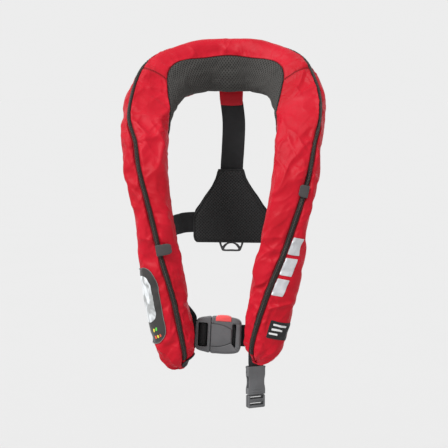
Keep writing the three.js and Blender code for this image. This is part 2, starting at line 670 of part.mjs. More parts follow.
// ---- Inside the right arm: oral tube and whistle ----
function mouthTubeAndWhistle() {
  const { group, towardsOuter: side } = insideArm(9.1);
  const at = (x, geometry) => geometry.translate(side * x, 0, 0);
  add("oral_tube", at(12, turned([[0, -25], [6, -25], [6, 45], [9, 50], [9, 54], [0, 54]], 14)), BLACK, group);
  add("oral_tube_cap", at(12, turned([[0, -38], [7.6, -38], [7.6, -25.6], [0, -25.6]], 14)), DARK_GREY, group);
  const whistle = roundedRectangle(-8, 8, -20, 24, 5);
  add("whistle", at(-14, plate(whistle, -4.5, 4.5, 3)), YELLOW_PLASTIC, group);
}

// ---- Folded bladder ----
const BLADDER = { places: [-6.8, 7.2], depth: 6.5, sides: 14 };

function bladder() {
  const [a, b] = BLADDER.places;
  const steps = 28;
  const rings = Array.from({ length: steps + 1 }, (_, i) => {
    const place = lerp(a, b, i / steps);
    return Array.from({ length: BLADDER.sides }, (__, k) => onBody(place, k / BLADDER.sides, BLADDER.depth));
  });
  add("folded_bladder", loft(rings), BLADDER_YELLOW);
}

coverPanels();
lining();
burstZip();
inspectionWindow();
coverPatches();
zipParts();
straps();
backPad();
const ringLoop = strapRing();
const ringTab = new THREE.ExtrudeGeometry(ringLoop, { depth: 22, bevelEnabled: false, curveSegments: 6 });
ringTab.translate(0, 0, -11).rotateX(Math.PI / 2).rotateZ(Math.PI / 2);
add("ring_tab", ringTab.translate(0, RING.y, RING.axisZ), BLACK);
beltSleeves();
waistBuckle();
crotchStrap();
inflator();
mouthTubeAndWhistle();
bladder();

export default jacket;
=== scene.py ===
"""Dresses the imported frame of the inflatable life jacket: cloth, mesh, webbing and moulded parts, in metres."""
import math

import bmesh
import bpy
import numpy as np
from mathutils import Matrix, Vector


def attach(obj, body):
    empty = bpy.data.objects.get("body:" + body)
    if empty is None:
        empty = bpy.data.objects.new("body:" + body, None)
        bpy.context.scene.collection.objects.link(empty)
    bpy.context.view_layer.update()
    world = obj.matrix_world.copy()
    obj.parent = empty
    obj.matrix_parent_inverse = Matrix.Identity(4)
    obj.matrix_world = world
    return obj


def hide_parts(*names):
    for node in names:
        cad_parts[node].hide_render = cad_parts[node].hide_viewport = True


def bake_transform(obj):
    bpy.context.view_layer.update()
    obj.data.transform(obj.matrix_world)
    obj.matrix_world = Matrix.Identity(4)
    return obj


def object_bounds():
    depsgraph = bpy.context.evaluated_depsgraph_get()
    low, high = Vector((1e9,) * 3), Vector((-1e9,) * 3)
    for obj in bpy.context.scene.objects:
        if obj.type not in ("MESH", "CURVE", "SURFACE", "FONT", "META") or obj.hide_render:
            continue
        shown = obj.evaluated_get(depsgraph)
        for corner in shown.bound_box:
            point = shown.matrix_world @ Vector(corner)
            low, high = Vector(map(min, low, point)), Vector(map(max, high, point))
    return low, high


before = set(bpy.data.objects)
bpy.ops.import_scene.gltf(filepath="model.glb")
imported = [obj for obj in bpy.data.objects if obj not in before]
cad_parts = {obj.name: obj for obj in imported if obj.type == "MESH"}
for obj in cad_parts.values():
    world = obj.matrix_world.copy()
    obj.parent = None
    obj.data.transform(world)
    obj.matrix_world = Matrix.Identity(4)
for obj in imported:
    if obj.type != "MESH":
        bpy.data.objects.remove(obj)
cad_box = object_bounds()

MM = 0.001
NO_SEAM = 0.02  # metres: further from a seam than any stitch or shade reaches

# ------------------------------------------------------------------ camera, stage and light
TARGET = Vector((0.0, 0.0, -0.224))
CAMERA_AZIMUTH, CAMERA_ELEVATION, CAMERA_DISTANCE = math.radians(5.5), math.radians(6.0), 2.4
LENS, SENSOR = 108.4, 36.0
FLOOR_Z, FLOOR_REACH = cad_box[0][2] - 0.35, 60
BACKGROUND = 0.845  # what the world and the lit floor both show
SUN_STRENGTH, SUN_ELEVATION, SUN_SIDE, SUN_WIDTH = 2.5, math.radians(46), math.radians(-42), math.radians(20)
IMAGE_WIDTH = 448  # pixels


def camera():
    data = bpy.data.cameras.new("camera")
    data.lens, data.sensor_width = LENS, SENSOR
    data.shift_x = -1.0 / IMAGE_WIDTH
    data.clip_end = 200
    cam = bpy.data.objects.new("camera", data)
    bpy.context.scene.collection.objects.link(cam)
    flat = CAMERA_DISTANCE * math.cos(CAMERA_ELEVATION)
    offset = Vector((flat * math.sin(CAMERA_AZIMUTH), -flat * math.cos(CAMERA_AZIMUTH),
                     CAMERA_DISTANCE * math.sin(CAMERA_ELEVATION)))
    cam.location = TARGET + offset
    cam.rotation_euler = (-offset).to_track_quat("-Z", "Y").to_euler()
    bpy.context.scene.camera = cam


def studio():
    world = bpy.data.worlds.new("studio")
    bpy.context.scene.world = world
    world.use_nodes = True
    sky = world.node_tree.nodes["Background"].inputs
    sky["Color"].default_value, sky["Strength"].default_value = (BACKGROUND,) * 3 + (1,), 1.0
    data = bpy.data.lights.new("key", "SUN")
    data.energy, data.angle = SUN_STRENGTH, SUN_WIDTH
    key = bpy.data.objects.new("key", data)
    bpy.context.scene.collection.objects.link(key)
    flat = math.cos(SUN_ELEVATION)
    source = Vector((flat * math.sin(SUN_SIDE), -flat * math.cos(SUN_SIDE), math.sin(SUN_ELEVATION)))
    key.rotation_euler = source.to_track_quat("Z", "Y").to_euler()
    bpy.context.scene.view_settings.view_transform = "Standard"
    corners = [(x * FLOOR_REACH, y * FLOOR_REACH, 0) for x, y in ((-1, -1), (1, -1), (1, 1), (-1, 1))]
    tree = Tree("pale_floor")
    # The floor's shade makes it as bright as the world behind it.
    shade = BACKGROUND / (BACKGROUND + SUN_STRENGTH * math.sin(SUN_ELEVATION) / math.pi)
    colour = tree.mix(tree.noise(scale=3.0, detail=4), (shade - 0.004,) * 3, (shade + 0.004,) * 3)
    mat = tree.finished(colour, 1.0, Specular_IOR_Level=0.0)
    floor = new_object("floor", mesh_of("floor", corners, [(0, 1, 2, 3)], smooth=False), mat)
    floor.location.z = FLOOR_Z


# ------------------------------------------------------------------ materials
class Tree:
    """A new material's node tree, with short names for the few shader nodes that the materials are made of."""

    def __init__(self, name):
        self.mat = bpy.data.materials.new(name)
        self.mat.use_nodes = True
        self.nodes, self.links = self.mat.node_tree.nodes, self.mat.node_tree.links
        self.coord = self.nodes.new("ShaderNodeTexCoord")
        self.uv, self.place = self.coord.outputs["UV"], self.coord.outputs["Object"]

    def put(self, socket, value):
        if isinstance(value, bpy.types.NodeSocket):
            self.links.new(value, socket)
        elif isinstance(value, tuple) and len(value) == 3 and len(socket.default_value) == 4:
            socket.default_value = value + (1,)
        else:
            socket.default_value = value

    def fill(self, node, **inputs):
        """Sets a node's inputs to values or links sockets to them; an underscore stands for a blank."""
        for name, value in inputs.items():
            self.put(node.inputs[name.replace("_", " ")], value)
        return node

    def node(self, kind, **inputs):
        return self.fill(self.nodes.new("ShaderNode" + kind), **inputs)

    def noise(self, scale, detail=3, rough=0.55, distortion=0.0, vector=None):
        return self.node("TexNoise", Scale=scale, Detail=detail, Roughness=rough, Distortion=distortion,
                         Vector=vector or self.place).outputs["Fac"]

    def stretched(self, vector, scale, turn=0.0):
        return self.node("Mapping", Scale=scale, Rotation=(0, 0, turn), Vector=vector).outputs["Vector"]

    def dots(self, vector, pitch):
        n = self.node("TexVoronoi", Scale=1 / pitch, Randomness=0.12)
        n.voronoi_dimensions = "2D"
        self.put(n.inputs["Vector"], vector)
        return n.outputs["Distance"]

    def math(self, op, a, b=0.0, c=0.0):
        n = self.node("Math")
        n.operation = op
        for socket, value in zip(n.inputs, (a, b, c)):
            self.put(socket, value)
        return n.outputs[0]

    def ramp(self, value, low, high, out_low=0.0, out_high=1.0):
        n = self.node("MapRange", Value=value, From_Min=low, From_Max=high, To_Min=out_low, To_Max=out_high)
        n.interpolation_type = "SMOOTHSTEP"
        return n.outputs[0]

    def mix(self, fac, a, b):
        n = self.node("Mix")
        n.data_type = "RGBA"
        # Inputs 6 and 7, and output 2, are the ones for colours.
        for k, value in ((0, fac), (6, a), (7, b)):
            self.put(n.inputs[k], value)
        return n.outputs[2]

    def bump(self, height, distance, strength=1.0, after=None):
        n = self.node("Bump", Distance=distance, Strength=strength, Height=height)
        if after:
            self.put(n.inputs["Normal"], after)
        return n.outputs[0]

    def split(self, vector):
        return self.node("SeparateXYZ", Vector=vector).outputs

    def attribute(self, name):
        n = self.node("Attribute")
        n.attribute_name = name
        return n.outputs["Fac"]

    def finished(self, colour, roughness, **inputs):
        self.fill(self.nodes["Principled BSDF"], Base_Color=colour, Roughness=roughness, **inputs)
        return self.mat


def tinted(colour, times, plus=0.0):
    return tuple(min(1.0, times * c + plus) for c in colour)


def weave(tree, vector, pitch):
    """Over-and-under threads in both directions, from 0 to 1."""
    a, b = (tree.math("SINE", tree.math("MULTIPLY", x, 2 * math.pi / pitch)) for x in tree.split(vector)[:2])
    return tree.math("MULTIPLY_ADD", tree.math("MULTIPLY", a, b), 0.5, 0.5)


STITCH_FROM_SEAM, STITCH_PITCH = 0.0028, 0.0034
MESH_PITCH, MESH_ROUGHNESS = 0.0042, 0.85


def stitches(tree):
    """A dashed line beside the nearest seam, from the seam attribute and the length in U."""
    off = tree.math("ABSOLUTE", tree.math("SUBTRACT", tree.attribute("seam"), STITCH_FROM_SEAM))
    line = tree.ramp(off, 0.0003, 0.0007, 1.0, 0.0)
    dash = tree.math("PINGPONG", tree.split(tree.uv)[0], STITCH_PITCH / 2)
    return tree.math("MULTIPLY", line, tree.ramp(dash, STITCH_PITCH * 0.12, STITCH_PITCH * 0.2, 0.0, 1.0))


def cloth(name, light, dark, roughness, pitch=0.0009, sheen=0.25, crease=0.0011, stitches_and_seam_shade=True, specular=0.22):
    """Woven cloth: faint patches of two shades, the weave, fine crinkles and, if asked, stitches along its seams and
    painted shade at each seam's edge.
    """
    t = Tree(name)
    colour = t.mix(t.ramp(t.noise(scale=14, detail=5), 0.3, 0.72), light, dark)
    colour = t.mix(t.math("MULTIPLY", t.noise(scale=160, detail=2), 0.18), colour, tinted(dark, 0.7, 0.003))
    woven = weave(t, t.uv, pitch)
    colour = t.mix(t.math("MULTIPLY", woven, 0.12), colour, tinted(light, 1.35))
    crinkle = t.noise(scale=1, detail=4, rough=0.6, distortion=0.6, vector=t.stretched(t.uv, (38, 75, 1)))
    normal = t.bump(woven, 0.00012, 0.6, after=t.bump(crinkle, crease))
    if stitches_and_seam_shade:
        # Painted shade: the cloth darkens within 1.6 mm of each seam, where it turns into the seam.
        colour = t.mix(t.ramp(t.attribute("seam"), 0.0, 0.0016, 0.55, 0.0), colour, tinted(dark, 0.3))
        thread = stitches(t)
        colour = t.mix(t.math("MULTIPLY", thread, 0.5), colour, tinted(light, 0.8, 0.02))
        normal = t.bump(thread, 0.0004, 0.8, after=normal)
    return t.finished(colour, t.ramp(crinkle, 0.2, 0.8, roughness - 0.07, roughness + 0.08), Normal=normal,
                      Sheen_Weight=sheen, Sheen_Roughness=0.45, Specular_IOR_Level=specular)


def spacer_mesh(name, thread, hole):
    """Thick knitted mesh with rows of small holes, slightly fuzzy, with painted shade along its seams."""
    t = Tree(name)
    holes = t.ramp(t.dots(t.stretched(t.uv, (1, 1, 1), turn=math.radians(45)), MESH_PITCH), 0.22, 0.44)
    fuzz = t.noise(scale=900, detail=2)
    colour = t.mix(t.math("MULTIPLY", fuzz, 0.3), t.mix(holes, hole, thread), tinted(thread, 1.5))
    colour = t.mix(t.ramp(t.noise(scale=11, detail=4), 0.35, 0.7, 0.0, 0.35), colour, tinted(thread, 0.6))
    # Painted shade: the mesh darkens within 2 mm of each seam.
    colour = t.mix(t.ramp(t.attribute("seam"), 0.0, 0.002, 0.6, 0.0), colour, tinted(hole, 0.4))
    normal = t.bump(t.noise(scale=45, detail=3), 0.0012, 0.7, after=t.bump(holes, 0.0007, 0.9))
    rough = t.ramp(fuzz, 0.3, 0.7, MESH_ROUGHNESS - 0.05, MESH_ROUGHNESS + 0.08)
    return t.finished(colour, rough, Normal=normal, Sheen_Weight=0.04, Sheen_Roughness=0.6,
                      Specular_IOR_Level=0.2)


def webbing_material(name, light, dark):
    """Ribbed tape: U runs along it and V across it, in metres."""
    t = Tree(name)
    u, v, _ = t.split(t.uv)
    rib = t.ramp(t.math("PINGPONG", t.math("ADD", u, t.math("PINGPONG", v, 0.004)), 0.0009), 0.0, 0.0008)
    woven = t.math("MULTIPLY", rib, t.ramp(t.math("PINGPONG", v, 0.0007), 0.0, 0.0006))
    broad = t.ramp(t.noise(scale=24, detail=4), 0.35, 0.75, 0.0, 0.5)
    colour = t.mix(broad, t.mix(woven, dark, light), tinted(light, 1.5))
    normal = t.bump(t.noise(scale=60, detail=3), 0.0008, 0.6, after=t.bump(woven, 0.0004, 0.9))
    return t.finished(colour, t.ramp(woven, 0, 1, 0.72, 0.55), Normal=normal, Sheen_Weight=0.05, Sheen_Roughness=0.5,
                      Specular_IOR_Level=0.3)


def moulded(name, colour, roughness, metallic=0.0, mottle=0.12):
    """Moulded plastic or plated metal: fine grain, faint clouding, and scuffs that catch the light."""
    t = Tree(name)
    cloud = t.noise(scale=30, detail=5)
    scuff = t.noise(scale=1, detail=6, rough=0.7, distortion=1.4, vector=t.stretched(t.place, (220, 90, 160)))
    base = t.mix(t.ramp(cloud, 0.3, 0.7), tinted(colour, 1 - mottle), tinted(colour, 1 + mottle, 0.004))
    base = t.mix(t.ramp(scuff, 0.62, 0.8, 0.0, 0.35), base, tinted(colour, 1.5, 0.02))
    normal = t.bump(cloud, 0.0003, 0.3, after=t.bump(t.noise(scale=1500, detail=2), 0.00012, 0.5))
    return t.finished(base, t.ramp(scuff, 0.3, 0.75, roughness - 0.06, roughness + 0.12), Normal=normal,
                      Metallic=metallic, Specular_IOR_Level=0.45)


def lens_material():
    """The window's clear sheet, drawn opaque over the parts behind it: grey, with pale bluish blotches of painted
    reflection and small white specks of painted highlight.
    """
    t = Tree("clear_window_sheet")
    blotch = t.noise(scale=1, detail=2, distortion=0.8, vector=t.stretched(t.uv, (26, 60, 1)))
    # Pale bluish blotches over the grey: painted reflection on the clear sheet.
    body = t.mix(t.ramp(blotch, 0.42, 0.56), (0.30, 0.31, 0.31), (0.74, 0.77, 0.79))
    # Small white specks: painted highlight.
    body = t.mix(t.ramp(t.noise(scale=240, detail=2), 0.4, 0.8, 0.0, 0.12), body, (0.95, 0.97, 1.0))
    return t.finished(body, t.ramp(blotch, 0.3, 0.7, 0.14, 0.24), Normal=t.bump(blotch, 0.0015, 0.5),
                      Coat_Weight=0.6, Coat_Roughness=0.06, Specular_IOR_Level=0.6)


def reflective_material():
    t = Tree("silver_reflective_film")
    cells = t.ramp(t.dots(t.uv, 0.0016), 0.36, 0.5)
    cloud = t.noise(scale=50, detail=4)
    colour = t.mix(t.ramp(cloud, 0.35, 0.7), (0.50, 0.51, 0.53), (0.62, 0.63, 0.65))
    colour = t.mix(t.math("MULTIPLY", cells, 0.3), colour, (0.36, 0.37, 0.39))
    return t.finished(colour, t.ramp(cloud, 0.3, 0.7, 0.3, 0.42), Normal=t.bump(cells, 0.0001, 0.5), Metallic=0.25,
                      Specular_IOR_Level=0.6)


RED = cloth("red_cover_cloth", (0.52, 0.005, 0.020), (0.42, 0.003, 0.012), 0.44, crease=0.0007, sheen=0.0,
            specular=0.16)
RED_TAB = cloth("red_tab_cloth", (0.50, 0.008, 0.020), (0.42, 0.005, 0.014), 0.52, sheen=0.0, stitches_and_seam_shade=False)
# The turned-in cloth is the cover's red, made darker: painted shade for the gaps at the seams.
SEAM_RED_PAINTED_SHADE = cloth("red_seam_allowance_painted_shade", (0.30, 0.004, 0.010), (0.22, 0.003, 0.007), 0.7, sheen=0.0, stitches_and_seam_shade=False)
BLACK = cloth("black_lining_cloth", (0.022, 0.022, 0.023), (0.012, 0.012, 0.013), 0.72, sheen=0.15)
SLEEVE = cloth("black_sleeve_cloth", (0.020, 0.020, 0.021), (0.010, 0.010, 0.011), 0.75, sheen=0.15, stitches_and_seam_shade=False)
LABEL = cloth("black_label_cloth", (0.014, 0.014, 0.015), (0.009, 0.009, 0.010), 0.6, pitch=0.0007, crease=0.0003,
              stitches_and_seam_shade=False)
LABEL_THREAD = cloth("pale_label_thread", (0.75, 0.75, 0.75), (0.6, 0.6, 0.6), 0.6, pitch=0.0006, crease=0.0001,
                     stitches_and_seam_shade=False)
COLLAR_MESH = spacer_mesh("collar_spacer_mesh", (0.062, 0.060, 0.056), (0.005, 0.005, 0.005))
PAD_MESH = spacer_mesh("pad_spacer_mesh", (0.030, 0.030, 0.030), (0.0025, 0.0025, 0.0025))
WEBBING = webbing_material("black_webbing", (0.016, 0.016, 0.0175), (0.005, 0.005, 0.0055))
WEBBING_TAPE = webbing_material("binding_tape", (0.020, 0.020, 0.021), (0.008, 0.008, 0.008))
ZIP_TAPE = webbing_material("zip_tape", (0.024, 0.020, 0.017), (0.009, 0.0075, 0.0065))
ZIP_TEETH = moulded("zip_coil", (0.040, 0.034, 0.029), 0.34, mottle=0.3)
GREY = moulded("grey_buckle_plastic", (0.100, 0.101, 0.106), 0.40)
# A darker copy of the buckle grey: painted shade for the buckles' grooves, slot backs and middle layer.
GREY_PAINTED_SHADE = moulded("buckle_painted_shade", (0.045, 0.045, 0.047), 0.55)
DARK = moulded("dark_grey_plastic", (0.055, 0.056, 0.058), 0.45)
TAB_GREY = cloth("grey_tab_cloth", (0.064, 0.060, 0.060), (0.045, 0.043, 0.043), 0.6, crease=0.0003, stitches_and_seam_shade=False)
BUTTON_RED = moulded("red_button_plastic", (0.78, 0.085, 0.085), 0.34)
FRAME_GREY = cloth("window_frame_sheet", (0.044, 0.042, 0.040), (0.034, 0.032, 0.031), 0.5, crease=0.0003,
                   stitches_and_seam_shade=False)
EDGE_GREY = moulded("pale_welt", (0.17, 0.16, 0.155), 0.5)
LENS_SHEET = lens_material()
SILVER = reflective_material()
STEEL = moulded("plated_steel", (0.55, 0.56, 0.58), 0.28, metallic=0.9)
YELLOW = moulded("yellow_plastic", (0.80, 0.50, 0.02), 0.38)
INDICATOR_GREEN = moulded("green_marker", (0.10, 0.55, 0.06), 0.4)
INDICATOR_YELLOW = moulded("yellow_marker", (0.85, 0.72, 0.05), 0.4)
INDICATOR_RED = moulded("red_marker", (0.75, 0.10, 0.04), 0.4)
BLADDER = cloth("coated_bladder_cloth", (0.70, 0.74, 0.02), (0.58, 0.62, 0.015), 0.45, stitches_and_seam_shade=False)


# ------------------------------------------------------------------ mesh helpers
def new_object(name, mesh, *mats):
    obj = bpy.data.objects.new(name, mesh)
    bpy.context.scene.collection.objects.link(obj)
    for mat in mats:
        mesh.materials.append(mat)
    return obj


def read(collection, attribute, size, kind=np.float32):
    """One attribute of all elements of a mesh's collection."""
    values = np.empty(len(collection) * size, dtype=kind)
    collection.foreach_get(attribute, values)
    return values.reshape(-1, size) if size > 1 else values


def mesh_of(name, points, faces, uv=None, seam=None, smooth=True):
    """points (n, 3), faces lists of indices; uv and seam are per point."""
    mesh = bpy.data.meshes.new(name)
    mesh.from_pydata([tuple(p) for p in points], [], faces)
    if uv is not None:
        layer = mesh.uv_layers.new(name="UVMap")
        index = read(mesh.loops, "vertex_index", 1, np.int64)
        layer.data.foreach_set("uv", np.asarray(uv, dtype=np.float32)[index].ravel())
    if seam is not None:
        mesh.attributes.new("seam", "FLOAT", "POINT").data.foreach_set("value", np.asarray(seam, dtype=np.float32))
    if smooth:
        mesh.polygons.foreach_set("use_smooth", [True] * len(mesh.polygons))
    mesh.update()
    return mesh


def grid_faces(rows, cols, wrap=False):
    faces = []
    for i in range(0, (rows - 1) * cols, cols):
        for j in range(cols if wrap else cols - 1):
            k = (j + 1) % cols
            faces.append((i + j, i + cols + j, i + cols + k, i + k))
    return faces


def path_length(path):
    """The length along a path at each of its points."""
    return np.concatenate([[0], np.cumsum(np.linalg.norm(np.diff(path, axis=0), axis=1))])


def grid_normals(grid):
    du = np.gradient(grid, axis=0)
    dv = np.gradient(grid, axis=1)
    n = np.cross(du, dv)
    return n / np.maximum(np.linalg.norm(n, axis=2, keepdims=True), 1e-12)


def add_modifier(obj, kind, **values):
    mod = obj.modifiers.new(kind.lower(), kind)
    for key, value in values.items():
        setattr(mod, key, value)


def apply_modifiers(obj):
    depsgraph = bpy.context.evaluated_depsgraph_get()
    mesh = bpy.data.meshes.new_from_object(obj.evaluated_get(depsgraph), preserve_all_data_layers=True,
                                           depsgraph=depsgraph)
    obj.modifiers.clear()
    old, obj.data = obj.data, mesh
    bpy.data.meshes.remove(old)


def subdivided(obj, levels=1):
    """Smooths a mesh but keeps the corners of its open edges."""
    add_modifier(obj, "SUBSURF", levels=levels, render_levels=levels, boundary_smooth="PRESERVE_CORNERS")
    apply_modifiers(obj)
    return obj


def thickened(obj, thickness, offset):
    """Makes a sheet thick, in mm, and rounds its edges."""
    add_modifier(obj, "SOLIDIFY", thickness=thickness * MM, offset=offset, use_even_offset=True)
    add_modifier(obj, "SUBSURF", levels=1, render_levels=1)
    apply_modifiers(obj)
    return obj


def joined(name, objs):
    """One object out of several meshes, with their materials."""
    for o in bpy.context.selected_objects:
        o.select_set(False)
    for o in objs:
        o.select_set(True)
    bpy.context.view_layer.objects.active = objs[0]
    if len(objs) > 1:
        bpy.ops.object.join()
    objs[0].name = name
    return objs[0]


def plate(name, loops, y0, y1, bevel, mat, resolution=2):
    """A flat moulded plate: loops are closed outlines of (x, z) in mm, the first the outside and the rest holes.
    Its faces are at y0 and y1, in mm, and all its edges are rounded by the bevel."""
    curve = bpy.data.curves.new(name, "CURVE")
    curve.dimensions, curve.fill_mode = "2D", "BOTH"
    curve.extrude = ((y1 - y0) / 2 - bevel) * MM
    curve.bevel_depth, curve.bevel_resolution = bevel * MM, resolution
    curve.offset = -bevel * MM
    for loop in loops:
        spline = curve.splines.new("POLY")
        spline.points.add(len(loop) - 1)
        for point, (x, z) in zip(spline.points, loop):
            point.co = (x * MM, z * MM, 0, 1)
        spline.use_cyclic_u = True
    temp = bpy.data.objects.new(name, curve)
    bpy.context.scene.collection.objects.link(temp)
    bpy.context.view_layer.update()
    depsgraph = bpy.context.evaluated_depsgraph_get()
    mesh = bpy.data.meshes.new_from_object(temp.evaluated_get(depsgraph))
    bpy.data.objects.remove(temp)
    bpy.data.curves.remove(curve)
    # The curve lies in X and Y and is thick in Z; the plate stands in X and Z and is thick in Y.
    mesh.transform(Matrix(((1, 0, 0, 0), (0, 0, -1, (y0 + y1) / 2 * MM), (0, 1, 0, 0), (0, 0, 0, 1))))
    return shaded(facing_out(new_object(name, mesh, mat), weld=True), 35)


def shaded(obj, degrees):
    """Smooth shading, but for edges sharper than the angle."""
    obj.data.polygons.foreach_set("use_smooth", [True] * len(obj.data.polygons))
    obj.data.set_sharp_from_angle(angle=math.radians(degrees))
    return obj


def rounded(x0, x1, z0, z1, r, n=5):
    """A rounded rectangle's outline, anticlockwise."""
    corners = ((x1 - r, z0 + r, -90), (x1 - r, z1 - r, 0), (x0 + r, z1 - r, 90), (x0 + r, z0 + r, 180))
    turns = [(cx, cz, math.radians(start + 90 * k / n)) for cx, cz, start in corners for k in range(n + 1)]
    return [(cx + r * math.cos(a), cz + r * math.sin(a)) for cx, cz, a in turns]


def smooth_loop(points, steps=6):
    """A closed Catmull-Rom curve through the points."""
    pts = np.array(points, dtype=float)
    n = len(pts)
    out = []
    for i in range(n):
        p0, p1, p2, p3 = (pts[(i + k) % n] for k in (-1, 0, 1, 2))
        for k in range(steps):
            w = k / steps
            out.append(tuple(0.5 * (2 * p1 + (p2 - p0) * w + (2 * p0 - 5 * p1 + 4 * p2 - p3) * w * w
                                    + (3 * p1 - p0 - 3 * p2 + p3) * w ** 3)))
    return out


def placed(obj, body, slot, *nodes):
    """Makes a piece ride on a body and hides the CAD nodes that it stands for."""
    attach(obj, body)
    if nodes:
        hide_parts(*nodes)
    return obj


def sheet_object(name, mat, points, faces, uv):
    """A smooth cloth object from points and lengths in mm, with no seam near it."""
    points = np.asarray(points).reshape(-1, 3)
    mesh = mesh_of(name, points * MM, faces, uv=np.asarray(uv).reshape(-1, 2) * MM, seam=np.full(len(points), NO_SEAM))
    return new_object(name, mesh, mat)


def facing_out(obj, weld=False):
    """Turns all faces of a closed mesh outwards, after welding its doubled points if asked."""
    cleaned = bmesh.new()
    cleaned.from_mesh(obj.data)
    if weld:
        bmesh.ops.remove_doubles(cleaned, verts=cleaned.verts, dist=1e-6)
    bmesh.ops.recalc_face_normals(cleaned, faces=cleaned.faces)
    cleaned.to_mesh(obj.data)
    cleaned.free()
    return obj


def moved(obj, matrix):
    """Bakes a matrix into the mesh, so the object stays at the origin."""
    obj.data.transform(matrix)
    obj.data.update()
    return obj


# ------------------------------------------------------------------ the horseshoe
SQUARENESS = 2.5
LEFT_DROP = 12.0
ZIP_WIDTH = 9.0
SHOULDER_SEAM, LINING_JOIN, FOOT = 2.5, 4.0, 12.0
# centre (3), front (3), half width, half thickness, zip, lining and hem: the CAD's own stations, in mm.
STATIONS = np.array([
    (0, 86, 59, 0, -1, 0, 50, 26, 0.42, 0.74, 1.06),
    (48, 78, 58, -0.2, -0.97, -0.05, 49, 26, 0.38, 0.74, 1.05),
    (102, 42, 38, -0.43, -0.82, 0.37, 47, 27, 0.26, 0.72, 1.042),
    (128, -2, 0, -0.3, -0.72, 0.62, 46, 27, 0.165, 0.62, 0.895),
    (134, -44, -45, -0.1, -0.78, 0.6, 42.5, 27, 0.14, 0.5, 0.77),
    (131, -70, -82, 0, -0.9, 0.4, 41, 27, 0.1, 0.39, 0.68),
    (125.5, -90, -130, 0.1, -0.98, 0.15, 39.5, 26.5, 0.068, 0.345, 0.655),
    (113.5, -104, -200, 0.02, -1, 0.05, 38, 26, 0.037, 0.345, 0.655),
    (102, -109, -270, -0.04, -1, 0.02, 38, 26, 0.01, 0.345, 0.655),
    (90, -112, -340, -0.06, -1, 0, 38, 26, -0.043, 0.345, 0.655),
    (78.5, -114, -400, -0.08, -1, -0.02, 36.5, 25, -0.078, 0.345, 0.655),
    (71, -114, -432, -0.08, -1, -0.05, 28, 20, -0.094, 0.345, 0.655),
    (64, -113, -448, -0.08, -1, -0.1, 8, 6, -0.094, 0.345, 0.655),
])
MIRROR = np.array([-1, 1, 1, -1, 1, 1, 1, 1, 1, 1, 1])
ROUND = np.concatenate([STATIONS[:0:-1] * MIRROR, STATIONS])


def smoothstep(x, low, high):
    t = np.clip((np.asarray(x, dtype=float) - low) / (high - low), 0, 1)
    return t * t * (3 - 2 * t)


def catmull(points, t):
    """An open Catmull-Rom curve through points at t from 0 to 1."""
    points = np.asarray(points, dtype=float)
    ends = np.vstack([2 * points[0] - points[1], points, 2 * points[-1] - points[-2]])
    p = np.clip(np.atleast_1d(t), 0, 1) * (len(points) - 1)
    i = np.minimum(p.astype(int), len(points) - 2)
    w = (p - i)[:, None]
    p0, p1, p2, p3 = (ends[i + k] for k in range(4))
    t0, t1 = 0.5 * (p2 - p0), 0.5 * (p3 - p1)
    return p1 + t0 * w + (3 * p2 - 3 * p1 - 2 * t0 - t1) * w ** 2 + (2 * p1 - 2 * p2 + t0 + t1) * w ** 3


def unit(v):
    return v / np.maximum(np.linalg.norm(v, axis=-1, keepdims=True), 1e-12)


def arm_uneven(places):
    """The left arm is narrower at its outer edge and the right one wider: how far each centre and half width goes."""
    reach = np.abs(places)
    left = smoothstep(reach, 5.5, 7) * (1 - smoothstep(reach, 10.4, 11.6))
    right = smoothstep(reach, 4.5, 6.5) * (1 - smoothstep(reach, 8.2, 9.8))
    return np.where(places < 0, 2 * left, 2.2 * right), np.where(places < 0, -2 * left, 1.8 * right)


def tube(places):
    """Centre, tangent, front, outward, half width and half thickness at places from -FOOT to FOOT."""
    places = np.atleast_1d(np.asarray(places, dtype=float))
    t = (places / FOOT + 1) / 2
    values = catmull(ROUND, t)
    step = 1e-4
    along = unit(catmull(ROUND[:, :3], t + step) - catmull(ROUND[:, :3], t - step))
    front = values[:, 3:6]
    front = unit(front - along * np.sum(front * along, axis=1, keepdims=True))
    outward = unit(np.cross(front, along))
    centre = values[:, :3].copy()
    centre[:, 2] -= np.where(places < 0, LEFT_DROP * smoothstep(-places, LINING_JOIN, FOOT), 0)
    shift, widen = arm_uneven(places)
    centre[:, 0] += shift
    return centre, along, front, outward, values[:, 6] + widen, values[:, 7]


def bend(x):
    return np.sign(x) * np.abs(x) ** (2 / SQUARENESS)


_fine = np.linspace(0, 2 * np.pi, 7201)
_outline = np.stack([42 * bend(np.sin(_fine)), 26.5 * bend(np.cos(_fine))], axis=1)
_length = path_length(_outline)
GIRTH = _length[-1]


def skin(places, rounds, proud=0.0):
    """Points of the tube's skin in mm; places (n,), rounds (n, m), proud above it."""
    centre, _, front, outward, width, thick = tube(places)
    rounds = np.atleast_2d(rounds)
    angle = np.interp((rounds % 1.0) * GIRTH, _length, _fine)
    proud = np.broadcast_to(proud, rounds.shape)
    a = (width[:, None] + proud) * bend(np.sin(angle))
    b = (thick[:, None] + proud) * bend(np.cos(angle))
    return centre[:, None] + a[..., None] * outward[:, None] + b[..., None] * front[:, None]


def zip_lean(places):
    """On both arms the zip lies a little to the viewer's right of its mirrored place."""
    reach = np.abs(places)
    left = -0.033 * smoothstep(reach, 3.9, 5.2) * (1 - smoothstep(reach, 8.6, 10.2))
    right = 0.042 * smoothstep(reach, 2.4, 3.6) * (1 - smoothstep(reach, 6.6, 8.8))
    return np.where(places < 0, left, right)


def seams(places):
    """Zip, lining and hem as shares of the girth."""
    places = np.atleast_1d(np.asarray(places, dtype=float))
    at = catmull(ROUND[:, 8:11], (places / FOOT + 1) / 2).T.copy()
    at[0] += zip_lean(places)
    return at


def half_zip(places):
    """Half the zip tape's width as a share of the girth: the covers close over it at the shoulders."""
    return (2.9 + 2.1 * smoothstep(np.abs(places), 4.0, 8.5)) / GIRTH


